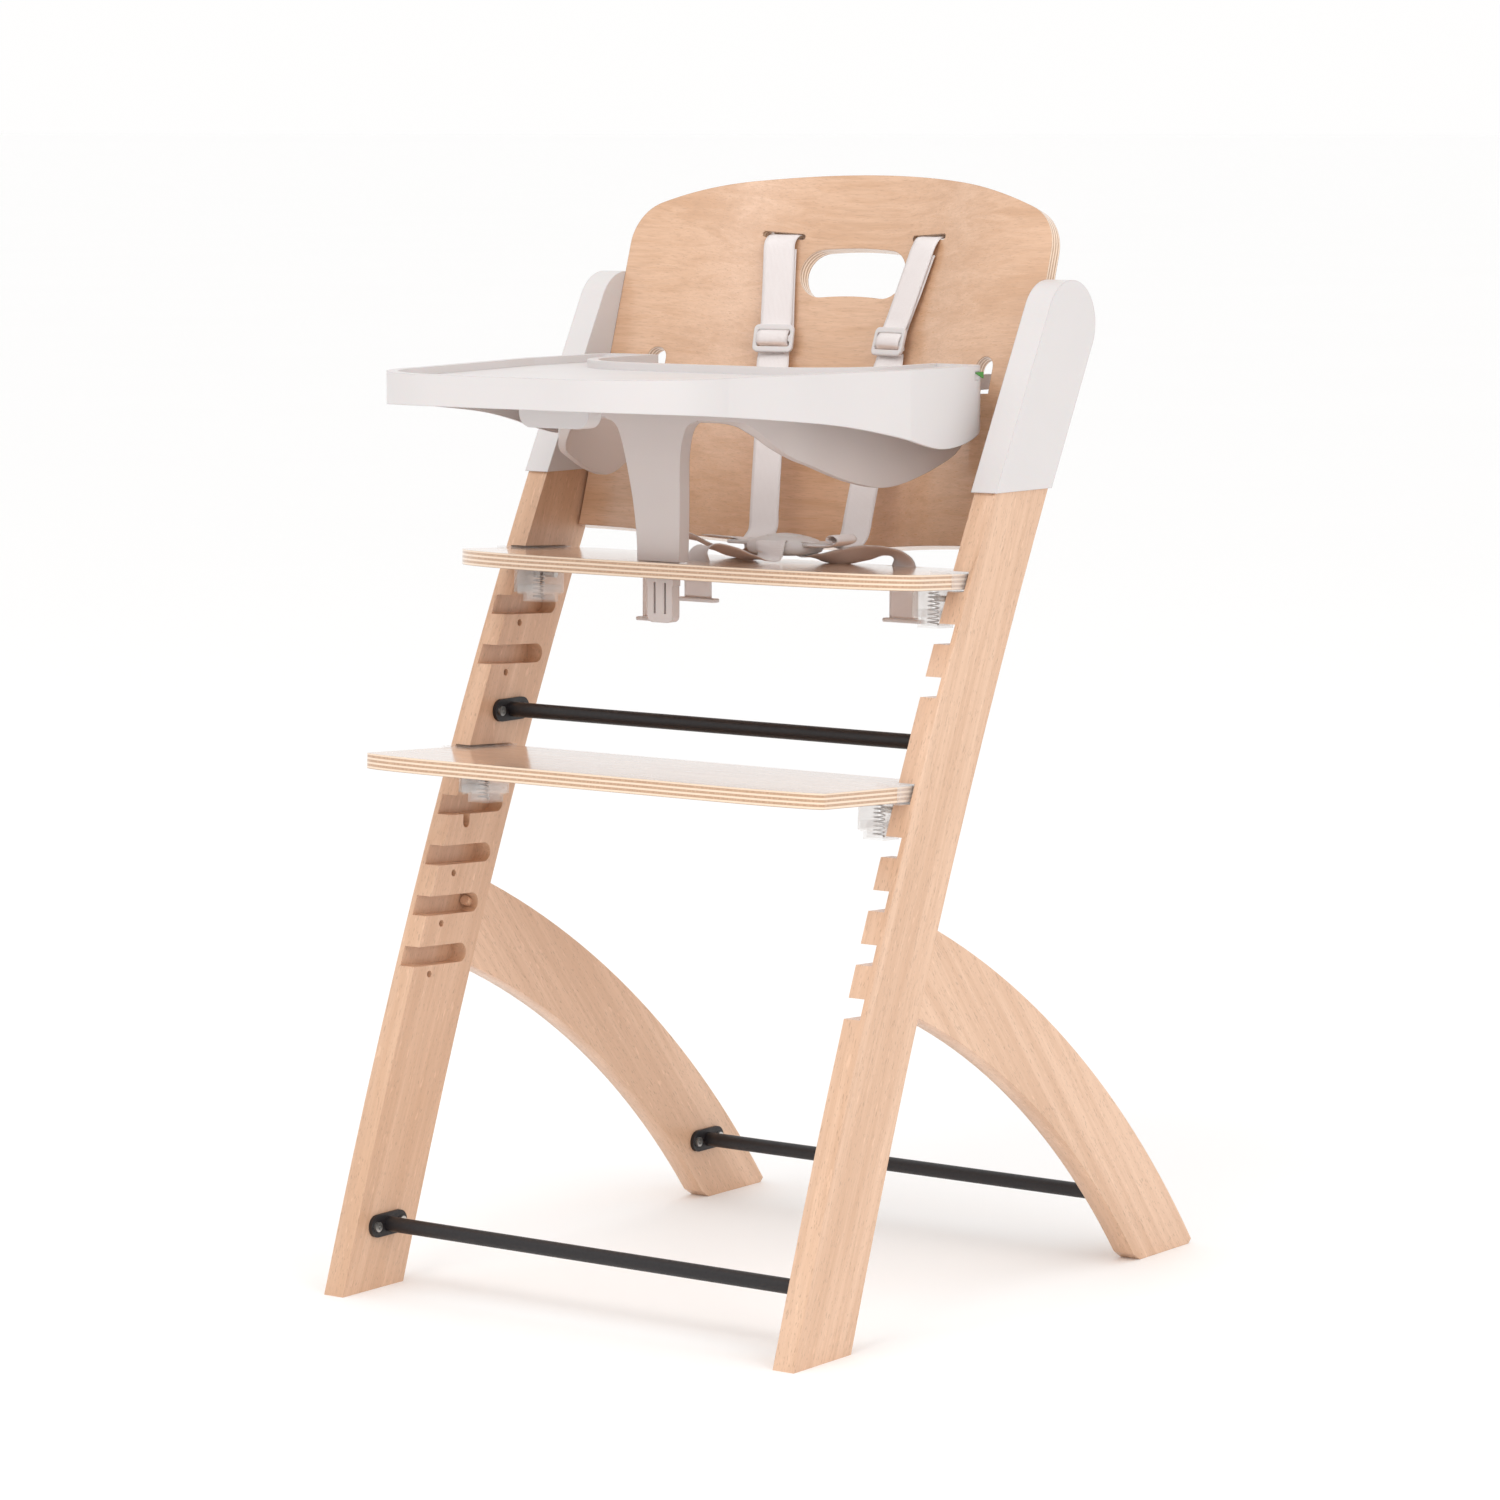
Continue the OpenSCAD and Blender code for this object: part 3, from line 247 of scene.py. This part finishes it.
def webbing(name):
    """Woven polyester: ribs along the strap crossed by fine weft."""
    m = Mat(name)
    uv = m.n("ShaderNodeTexCoord").outputs["UV"]
    u, v, _ = m.xyz(uv)
    warp = m.math("SINE", m.math("MULTIPLY", v, 2 * math.pi / 0.0011))
    row = m.math("MULTIPLY", u, 2 * math.pi / 0.0009)
    weft = m.math("SINE", m.math("ADD", row, m.math("MULTIPLY", warp, 1.2)))
    h = m.math("ADD", m.math("MULTIPLY", warp, 0.5), m.math("MULTIPLY", weft, 0.5))
    fuzz = m.noise(m.place(uv, scale=(1, 1, 1)), 2200.0, 2.0, 0.6)
    cloud = m.noise(m.place(uv, scale=(24, 60, 1)), 1.0, 3.0, 0.6)
    col = m.mix(m.map(h, -1, 1, 0.0, 1.0), (0.76, 0.69, 0.675), (0.93, 0.88, 0.87))
    col = m.mix(m.math("MULTIPLY", m.map(cloud, 0.35, 0.7, 0.0, 1.0), 0.3), col, (0.82, 0.755, 0.74))
    # faces turned downward are painted tan (0.86, 0.62, 0.49): painted bounce light from the wooden seat, not
    # the webbing's own colour
    painted_bounce_normal_z = m.xyz(m.n("ShaderNodeNewGeometry").outputs["Normal"])[2]
    col = m.mix(m.map(painted_bounce_normal_z, -0.5, -0.1, 0.6, 0.0), col, (0.86, 0.62, 0.49))
    hh = m.math("ADD", h, m.math("MULTIPLY", fuzz, 0.8))
    m.set(color=col, rough=m.map(fuzz, 0.3, 0.7, 0.62, 0.8), normal=m.bump(hh, 0.00016, 0.8), spec=0.3,
          sheen=0.25, sheen_rough=0.4)
    return m.m


def metal(name, col, rough, metallic=1.0, scratch=(900, 900, 60)):
    m = Mat(name)
    n = m.noise(m.place(m.co, scale=scratch), 1.0, 2.0, 0.6)
    c = m.mix(m.map(n, 0.3, 0.7, 0.0, 1.0), col, tuple(x * 0.82 for x in col))
    m.set(color=c, rough=m.map(n, 0.3, 0.7, rough, rough + 0.12), metal=metallic, normal=m.bump(n, 0.00001))
    return m.m


def clear(name, rib=0.0):
    """Clear moulded polycarbonate: a pale, see-through skin; rib is the pitch of its moulded ribs."""
    m = Mat(name)
    n = m.noise(m.co, 60.0, 1.0, 0.5)
    c = m.mix(m.map(n, 0.3, 0.7, 0.0, 1.0), (0.93, 0.93, 0.93), (0.98, 0.98, 0.98))
    h = m.math("MULTIPLY", n, 0.3)
    if rib:
        wave = m.math("SINE", m.math("MULTIPLY", m.math("ADD", *m.xyz(m.co)[:2]), 2 * math.pi / rib))
        h = m.math("ADD", h, wave)
    m.set(color=c, rough=m.map(n, 0.3, 0.7, 0.08, 0.16), normal=m.bump(h, 0.0002, 0.4),
          alpha=m.map(n, 0.2, 0.8, 0.14, 0.22), coat=0.6, coat_rough=0.08)
    return m.m


def assign(mat, *names):
    for n in names:
        o = nodes[n]
        o.data.materials.clear()
        o.data.materials.append(mat)


LEAN = math.atan(UPRIGHT_RAKE)
LEG_SLOPE = math.atan2(225, 275)
assign(beech("beech_uprights", (LEAN, 0, 0)), "upright_right")
assign(beech("beech_uprights_far", (LEAN, 0, 0), offset=0.37), "upright_left")
assign(beech("beech_legs", (-LEG_SLOPE, 0, 0), offset=0.9), "rear_leg_left", "rear_leg_right", "leg_dowels")


def ease_arrises(node, width):
    """Rounds a beech piece's sharp edges by width, after joining its flat faces up."""
    o = nodes[node]
    o.modifiers.new("weld", "WELD").merge_threshold = 1e-5
    flat = o.modifiers.new("planar", "DECIMATE")
    flat.decimate_type = "DISSOLVE"
    flat.angle_limit = math.radians(0.6)
    edge = o.modifiers.new("bevel", "BEVEL")
    edge.width = width
    edge.segments = 2
    edge.angle_limit = math.radians(40)
    edge.harden_normals = True


for name in ("upright_left", "upright_right", "rear_leg_left", "rear_leg_right"):
    ease_arrises(name, 0.0015)
white = plastic("white_plastic")
web = webbing("webbing")
# the guard bar gets its own darker, warmer white plastic: painted shade from the tray above it and painted
# warm bounce from the wood, not a different plastic
assign(plastic("guard_plastic_painted_shade", (0.60, 0.53, 0.505)), "guard_bar")
assign(white, "cap_left", "cap_right", "tray", "tray_lever", "shoulder_stops", "strap_adjusters",
       "strap_stops", "buckle_body", "buckle_tongues", "buckle_button")


def board_depth(front, mid):
    """Distance below a board's upper face; front is the y of its slots' mouths and mid their height."""
    def depth(m):
        x, y, z = m.xyz(m.co)
        a = m.math("MULTIPLY", m.math("SUBTRACT", y, Y0 + front), math.sin(TILT))
        b = m.math("MULTIPLY", m.math("SUBTRACT", z, mid), math.cos(TILT))
        return m.math("SUBTRACT", PLY / 2, m.math("ADD", a, b))
    return depth


def back_depth(m):
    """Distance behind the backrest's curved front face."""
    x, y, z = m.xyz(m.co)
    behind = m.math("MULTIPLY", m.math("SUBTRACT", y, Y0 + BACK_Y / 1000), math.cos(LEAN_BACK))
    above = m.math("MULTIPLY", m.math("SUBTRACT", z, BACK_Z / 1000), math.sin(LEAN_BACK))
    wave = m.math("COSINE", m.math("MULTIPLY", x, math.pi / (BACK_HALF / 1000)))
    bow = m.math("MULTIPLY", m.math("ADD", wave, 1.0), BACK_BOW / 2000)
    return m.math("SUBTRACT", m.math("SUBTRACT", behind, above), bow)


seat_depth = board_depth(0.2326, 0.5691)
foot_depth = board_depth(0.1600, 0.41366)
assign(plywood("plywood_seat", {}, seat_depth, UP), "seat_board")
assign(plywood("plywood_foot", {"loc": (0.7, 0.3, 0.2)}, foot_depth, UP), "footrest_board")
assign(plywood("plywood_back", {"loc": (1.3, 0.9, 0.1)}, back_depth, FRONT, light=(0.72, 0.455, 0.295),
               deep=(0.62, 0.365, 0.215), coat=0.8, coat_rough=0.22), "backrest")
black = metal("black_steel", (0.012, 0.0095, 0.011), 0.42, 0.0, (400, 400, 400))
assign(black, "bar_front", "bar_middle", "bar_rear", "bar_flanges")
assign(metal("zinc_steel", (0.62, 0.61, 0.59), 0.26), "seat_pin_left", "seat_pin_right", "foot_pin_left",
       "foot_pin_right", "bar_screws", "backrest_screws")
spring_mat = metal("spring_steel", (0.34, 0.33, 0.33), 0.25, 1.0, (700, 700, 700))
assign(clear("clear_plastic"), "seat_clip_left", "seat_clip_right", "foot_clip_left", "foot_clip_right")
assign(clear("clear_ribbed", 0.0034), "seat_button_left", "seat_button_right", "foot_button_left",
       "foot_button_right")
green = plastic("green_plastic", (0.10, 0.36, 0.085), 0.35)
assign(green, "lock_indicators")


# ---------------------------------------------------------------- mesh helpers
def make(name, verts, faces, mat, smooth=True, uv=None):
    me = bpy.data.meshes.new(name)
    me.from_pydata([tuple(v) for v in verts], [], faces)
    o = bpy.data.objects.new(name, me)
    bpy.context.collection.objects.link(o)
    me.materials.append(mat)
    for p in me.polygons:
        p.use_smooth = smooth
    if uv:
        layer = me.uv_layers.new(name="UVMap")
        for p in me.polygons:
            for li, vi in zip(p.loop_indices, p.vertices):
                layer.data[li].uv = uv[vi]
    return o


def smooth_path(points, step):
    """Catmull-Rom through (x, y, z) + side vector rows, sampled every step millimetres."""
    rows = [[Vector(p[0]), Vector(p[1])] for p in points]
    out = []
    n = len(rows)
    for i in range(n - 1):
        p1, p2 = rows[i][0], rows[i + 1][0]
        p0 = rows[i - 1][0] if i else p1 * 2 - p2
        p3 = rows[i + 2][0] if i + 2 < n else p2 * 2 - p1
        t1 = (p2 - p0) * (p2 - p1).length / max(1e-6, (p1 - p0).length + (p2 - p1).length)
        t2 = (p3 - p1) * (p2 - p1).length / max(1e-6, (p2 - p1).length + (p3 - p2).length)
        k = max(2, round((p2 - p1).length / step))
        for j in range(k + (i == n - 2)):
            t = j / k
            a, b = 2 * t ** 3 - 3 * t ** 2 + 1, t ** 3 - 2 * t ** 2 + t
            c, d = -2 * t ** 3 + 3 * t ** 2, t ** 3 - t ** 2
            s = t * t * (3 - 2 * t)
            out.append((p1 * a + t1 * b + p2 * c + t2 * d, rows[i][1].lerp(rows[i + 1][1], s).normalized()))
    return out


def strap(name, points, mat, body, width=27.0, thick=1.3, step=2.0, lip=0.35):
    """A woven strap: a closed band along the path, with rounded edges; returns it."""
    path = smooth_path(points, step)
    half, n = width / 2, 8
    prof = [(-half + width * i / n, thick / 2 * (1 if 0 < i < n else lip)) for i in range(n + 1)]
    ring = prof + [(a, -b) for a, b in reversed(prof)]
    verts, uv, run = [], [], 0.0
    for i, (p, s) in enumerate(path):
        q0, q1 = path[max(0, i - 1)][0], path[min(len(path) - 1, i + 1)][0]
        t = (q1 - q0).normalized()
        s = (s - t * s.dot(t)).normalized()
        nrm = t.cross(s).normalized()
        if i:
            run += (p - path[i - 1][0]).length
        for a, b in ring:
            verts.append(P(*(p + s * a + nrm * b)))
            uv.append((run / 1000, (a + half) / 1000 + (0.1 if b < 0 else 0)))
    m, faces = len(ring), []
    for i in range(len(path) - 1):
        for j in range(m):
            k = (j + 1) % m
            faces.append((i * m + j, i * m + k, (i + 1) * m + k, (i + 1) * m + j))
    faces.append(tuple(range(m - 1, -1, -1)))
    faces.append(tuple(range((len(path) - 1) * m, len(path) * m)))
    o = make(name, verts, faces, mat, uv=uv)
    fix_normals(o)
    if body:
        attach(o, body)
    return o


def fix_normals(o):
    bm = bmesh.new()
    bm.from_mesh(o.data)
    bmesh.ops.recalc_face_normals(bm, faces=bm.faces)
    bm.to_mesh(o.data)
    bm.free()


def rounded(x, y, w, h, r, n=8):
    """A rounded rectangle about (x, y) as a closed list of points."""
    out = []
    for k, (sx, sy) in enumerate(((1, 1), (-1, 1), (-1, -1), (1, -1))):
        for i in range(n + 1):
            a = math.pi / 2 * (k + i / n)
            out.append((x + sx * (w / 2 - r) + r * math.cos(a), y + sy * (h / 2 - r) + r * math.sin(a)))
    return out


def plate(name, loops, thick, frame_at, mat, soft=0.6):
    """A flat plate from its outline and holes (mm), beveled all round and set at frame_at (4x4, metres)."""
    cu = bpy.data.curves.new(name, "CURVE")
    cu.dimensions = "2D"
    cu.fill_mode = "BOTH"
    cu.extrude = (thick / 2 - soft) / 1000
    cu.bevel_depth = soft / 1000
    cu.bevel_resolution = 2
    cu.offset = -soft / 1000
    for loop in loops:
        sp = cu.splines.new("POLY")
        sp.points.add(len(loop) - 1)
        for p, (x, y) in zip(sp.points, loop):
            p.co = (x / 1000, y / 1000, 0, 1)
        sp.use_cyclic_u = True
    tmp = bpy.data.objects.new(name + "_c", cu)
    bpy.context.collection.objects.link(tmp)
    dg = bpy.context.evaluated_depsgraph_get()
    me = bpy.data.meshes.new_from_object(tmp.evaluated_get(dg))
    bpy.data.objects.remove(tmp)
    bpy.data.curves.remove(cu)
    me.transform(frame_at)
    me.name = name
    o = bpy.data.objects.new(name, me)
    bpy.context.collection.objects.link(o)
    bm = bmesh.new()
    bm.from_mesh(me)
    bmesh.ops.remove_doubles(bm, verts=bm.verts, dist=2e-6)
    bmesh.ops.recalc_face_normals(bm, faces=bm.faces)
    bm.to_mesh(me)
    bm.free()
    me.materials.clear()
    me.materials.append(mat)
    for p in me.polygons:
        p.use_smooth = True
        p.material_index = 0
    w = o.modifiers.new("normals", "WEIGHTED_NORMAL")
    w.keep_sharp = False
    return o


def axes(origin, x, y):
    """A 4x4 that puts a plate's own X and Y along these directions, at a chair point."""
    x = Vector(x).normalized()
    z = x.cross(Vector(y)).normalized()
    y = z.cross(x)
    m = Matrix((x, y, z)).transposed().to_4x4()
    m.translation = P(*origin)
    return m


def lathe(name, profile, centre, mat, sx=1.0, sy=1.0, n=64, power=2.0):
    """Turns (radius, height) rows about a vertical axis; power > 2 squares the plan."""
    verts, faces = [], []
    for r, h in profile:
        for i in range(n):
            a = 2 * math.pi * i / n
            c, s = math.cos(a), math.sin(a)
            k = (abs(c) ** power + abs(s) ** power) ** (-1 / power)
            verts.append(P(centre[0] + r * c * k * sx, centre[1] + r * s * k * sy, centre[2] + h))
    m = len(profile)
    for j in range(m - 1):
        for i in range(n):
            k = (i + 1) % n
            faces.append((j * n + i, j * n + k, (j + 1) * n + k, (j + 1) * n + i))
    faces.append(tuple(range(n - 1, -1, -1)))
    faces.append(tuple(range((m - 1) * n, m * n)))
    o = make(name, verts, faces, mat)
    fix_normals(o)
    return o


# ---------------------------------------------------------------- harness
def face(x, z):
    """Y of the backrest's front face."""
    bow = BACK_BOW / 2 * (1 + math.cos(math.pi * x / BACK_HALF))
    return BACK_Y + (z - BACK_Z) * math.tan(LEAN_BACK) + bow / math.cos(LEAN_BACK)


def face_side(x):
    """Direction across a strap that lies along the face at x."""
    return (1, -BACK_BOW / 2 * math.pi / BACK_HALF * math.sin(math.pi * x / BACK_HALF), 0)


# shoulder slots in the backrest, and the adjusters on the straps (mm)
SLOT_X, SLOT_Z = 71, 825.2
ADJ_X = {-1: -58, 1: 55}
ADJ_Z = 742
for side, word in ((-1, "left"), (1, "right")):
    s = face_side(side * SLOT_X)
    ax = ADJ_X[side]
    at = lambda f, d, z: ((side * SLOT_X + (ax - side * SLOT_X) * f, face(side * 60, z) - d, z), s)
    pts = [((side * SLOT_X, 424.6, SLOT_Z), s), ((side * SLOT_X, 415, SLOT_Z + 0.2), s),
           at(0.0, 1.2, SLOT_Z - 0.6), at(0.02, 6.2, 819.5), at(0.2, 6.8, 806), at(0.48, 6.6, 785),
           at(0.76, 6.6, 763), at(0.86, 6.8, 756.5), at(0.92, 8.0, 751), at(0.96, 10.4, 747.8),
           at(0.99, 11.5, 745), at(1.0, 11.4, 741.4), at(1.0, 9.4, 738.8), at(1.0, 6.4, 736.8),
           at(1.0, 3.6, 736.8), at(1.0, 2.9, 741), at(0.93, 3.6, 752), at(0.8, 4.4, 763),
           at(0.5, 4.6, 785), at(0.22, 4.6, 806), at(0.12, 4.4, 813)]
    if side > 0:
        pts = pts[:16] + [((p[0][0] + 1.6 * min(1, i / 2), p[0][1], p[0][2]), p[1])
                          for i, p in enumerate(pts[16:])]
    o = strap("strap_upper_" + word, pts, web, "frame")
    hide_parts("shoulder_strap_upper_" + word)

# lower shoulder straps from the adjuster to the buckle: rows of z, y, x
LOWER = {-1: [(738, 376.3, -60.4), (730, 373.8, -59.2), (712, 351.7, -44.7), (690, 340, -38),
              (660, 324.1, -28.7), (630, 308.1, -19.5), (610, 297.5, -13.3), (597, 290, -9)],
         1: [(738, 376.3, 54.5), (730, 373.8, 54.4), (712, 351.7, 65), (690, 340, 67.8),
             (660, 324.1, 71.5), (630, 308.1, 75.3), (610, 297.5, 77.8), (596, 290, 79.6)]}
for side, word in ((-1, "left"), (1, "right")):
    pts = []
    for z, y, x in LOWER[side]:
        k = min(1, max(0, (738 - z) / 40))
        pts.append(((x, y - 0.6, z), (1, (1 - k) * face_side(side * 60)[1], 0)))
    if side < 0:
        pts += [((-6, 280, 591), (1, 0, 0)), ((2, 268, 588.5), (1, 0, 0))]
    else:
        pts += [((80, 282, 588.5), (1, -.1, 0)), ((74, 272, 586), (1, -.2, 0))]
    o = strap("strap_lower_" + word, pts, web, None)
    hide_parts("shoulder_strap_lower_" + word)
    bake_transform(o)

for side, word in ((-1, "left"), (1, "right")):
    s = face_side(side * SLOT_X)
    at = axes((ADJ_X[side], face(side * 60, ADJ_Z + 1) - 8.8, ADJ_Z + 1), s, (0, math.tan(LEAN_BACK), 1))
    loops = [rounded(0, 0, 35, 23, 4.5), rounded(0, 4.7, 28.4, 4.2, 1.5), rounded(0, -4.7, 28.4, 4.2, 1.5)]
    o = plate("strap_slide_" + word, loops, 3.2, at, white, 0.9)
    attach(o, "frame")
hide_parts("strap_adjusters")

# the buckle's middle, x and y
BK = (32, 262)
lap_r = [((121, 297, 531), (1, 0, 0)), ((121, 297, 561), (1, 0, 0)), ((121, 296, 574), (.97, -.22, 0)),
         ((117, 293, 581), (.85, -.5, .15)), ((107, 288, 584), (.4, -.85, .34)),
         ((92, 282, 582), (.1, -.88, .46)), ((76, 275, 578.4), (0, -.9, .42)),
         ((62, 269, 577.4), (0, -.95, .3)), ((52, 266, 579), (0, -1, .15)), ((48, 264, 584.6), (0, -1, .1)),
         ((54, 263, 589.2), (0, -1, .1)), ((66, 264, 589), (0, -1, .1))]
lap_l = [((-121, 297, 519), (1, 0, 0)), ((-121, 297, 561), (1, 0, 0)), ((-121, 295, 573), (.97, .22, 0)),
         ((-115, 290, 582), (.85, .5, -.15)), ((-98, 284, 587.5), (.4, .85, -.3)),
         ((-78, 279, 588.5), (.1, .92, -.38)), ((-58, 274, 585), (0, .88, -.46)),
         ((-36, 269, 579.6), (0, .9, -.42)),
         ((-16, 265, 577.4), (0, .95, -.3)), ((-3, 263, 579.6), (0, .98, -.2)), ((2, 262, 585), (0, 1, -.1)),
         ((-4, 262, 589.2), (0, 1, -.1)), ((-18, 263, 590.6), (0, 1, -.1)), ((-40, 263, 590.4), (0, 1, -.15))]
for pts, word in ((lap_l, "left"), (lap_r, "right")):
    o = strap("lap_" + word, pts, web, "seat")
    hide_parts("lap_strap_" + word)
crotch = [((0, 190, 549), (1, 0, 0)), ((0, 190, 570), (1, 0, 0)), ((0.5, 190.5, 580), (.98, -.2, 0)),
          ((4, 193, 587.4), (.9, -.4, .1)), ((10, 199, 588.6), (.75, -.6, .25)),
          ((18, 209, 584.6), (.78, -.55, .3)),
          ((26, 220, 580), (.9, -.4, .15)), ((33, 229, 578), (.97, -.2, 0)), ((36, 234, 580.4), (1, 0, 0)),
          ((36.5, 235.4, 586), (1, 0, 0)), ((35, 239, 590.4), (1, 0, 0)), ((33, 246, 590.8), (1, 0, 0))]
o = strap("crotch_band", crotch, web, "seat", width=26)
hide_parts("crotch_strap")
curl = [((64, 256, 588.5), (0.1, 1, 0)), ((78, 256, 588.8), (0.1, 1, 0)), ((90, 256, 590), (.1, 1, 0)),
        ((95.4, 256, 593.6), (.1, 1, 0)), ((92, 256, 597), (.1, 1, 0)), ((86, 256, 596.6), (.1, 1, 0)),
        ((84, 256, 593.8), (.1, 1, 0)), ((88, 256, 592.6), (.1, 1, 0))]
strap("strap_tail_right", curl, web, "seat", width=24)

dome = [(0.5, 0), (14, 0), (21, 0.8), (24.4, 2.6), (25.8, 5.4), (25.6, 8.0), (24, 10.2), (21, 12.0),
        (17, 13.7), (13.2, 14.8), (12.5, 14.8), (12.3, 14.4), (12.3, 9.4), (0.5, 9.4)]
body = lathe("buckle_shell", dome, (BK[0], BK[1], 579.4), white, sx=1.22, sy=0.98, power=2.3)
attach(body, "seat")
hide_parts("buckle_body")
press = [(0.3, 12.6), (11.2, 12.6), (11.9, 13.2), (11.9, 14.6), (11.3, 15.2), (8, 16.0), (4, 16.6),
         (0.3, 16.8)]
cap = lathe("buckle_press_cap", press, (BK[0], BK[1], 579.4), white, sx=1.22, sy=0.98, power=2.3)
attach(cap, "buckle_button")
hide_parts("buckle_button")
for side, word in ((-1, "left"), (1, "right")):
    at = axes((BK[0] + side * 36, BK[1], 588.6), (1, 0, 0), (0, 1, 0))
    loops = [rounded(0, 0, 24, 30, 5), rounded(side * 6, 0, 4.4, 22, 1.8)]
    o = plate("buckle_tongue_" + word, loops, 3.0, at, white, 0.8)
    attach(o, "seat")
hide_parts("buckle_tongues")

for i, (x, y, z) in enumerate(((-121, 297, 517.2), (121, 297, 529.2), (0, 190, 547.2))):
    at = axes((x, y, z), (1, 0, 0), (0, 1, 0))
    o = plate("strap_bar_%d" % i, [rounded(0, 0, 38, 8, 3)], 3.0, at, white, 0.9)
    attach(o, "seat")
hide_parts("strap_stops")

# ---------------------------------------------------------------- lock windows of the tray
lo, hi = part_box("lock_indicators")
for side, word in ((-1, "left"), (1, "right")):
    face_x = hi[0] if side > 0 else lo[0]
    y1, y2, z1, z2 = lo[1], hi[1], lo[2], hi[2]
    deep = 0.0012
    tri = ((y1 + 0.0002, z2 - 0.0002), (y2 - 0.0002, z2 - 0.0002), (y2 - 0.0002, z1 + 0.0008))
    verts = [(face_x - side * d, a, b) for d in (0.0, deep) for a, b in tri]
    faces = [(0, 1, 2), (5, 4, 3), (0, 3, 4, 1), (1, 4, 5, 2), (2, 5, 3, 0)]
    o = make("lock_window_" + word, verts, faces, green, smooth=False)
    fix_normals(o)
    b = o.modifiers.new("bevel", "BEVEL")
    b.width, b.segments = 0.0002, 2
    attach(o, "tray")
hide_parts("lock_indicators")

# ---------------------------------------------------------------- springs
def coil(name, node, body, turns=8, wire=0.5):
    """A compression spring with closed ends, in the place of the CAD's coil."""
    lo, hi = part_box(node)
    mid = (Vector(lo) + Vector(hi)) / 2
    up, back = Vector((0, math.sin(TILT), math.cos(TILT))), Vector((0, math.cos(TILT), -math.sin(TILT)))
    r = (hi[0] - lo[0]) / 2 - wire / 1000
    high = (hi[2] - lo[2] - (hi[0] - lo[0]) * math.sin(TILT)) / math.cos(TILT)
    steps, m = turns * 20, 8
    verts, faces = [], []
    for i in range(steps + 1):
        t = i / steps
        a = 2 * math.pi * turns * t
        z = wire / 1000 - high / 2 + (high - wire / 500) * (t * 0.9 + 0.1 * (3 * t * t - 2 * t ** 3))
        for j in range(m):
            b = 2 * math.pi * j / m
            q = r + wire / 1000 * math.cos(b)
            verts.append(mid + Vector((q * math.cos(a), 0, 0)) + back * (q * math.sin(a))
                         + up * (z + wire / 1000 * math.sin(b)))
    for i in range(steps):
        for j in range(m):
            k = (j + 1) % m
            faces.append((i * m + j, i * m + k, (i + 1) * m + k, (i + 1) * m + j))
    faces += [tuple(range(m - 1, -1, -1)), tuple(range(steps * m, (steps + 1) * m))]
    o = make(name, verts, faces, spring_mat)
    fix_normals(o)
    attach(o, body)
    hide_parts(node)
    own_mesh(o)


for unit, body in (("seat", "seat"), ("foot", "footrest")):
    for side in ("left", "right"):
        coil("coil_%s_%s" % (unit, side), "%s_spring_%s" % (unit, side), body)


# ---------------------------------------------------------------- floor
me = bpy.data.meshes.new("floor")
me.from_pydata([(-400, -400, 0), (400, -400, 0), (400, 400, 0), (-400, 400, 0)], [], [(0, 1, 2, 3)])
floor = bpy.data.objects.new("floor", me)
bpy.context.collection.objects.link(floor)
fm = Mat("floor_white")
fm.set(color=fm.mix(fm.noise(fm.co, 0.7), (0.985, 0.985, 0.985), (0.995, 0.995, 0.995)), rough=0.9, spec=0.05)
me.materials.append(fm.m)
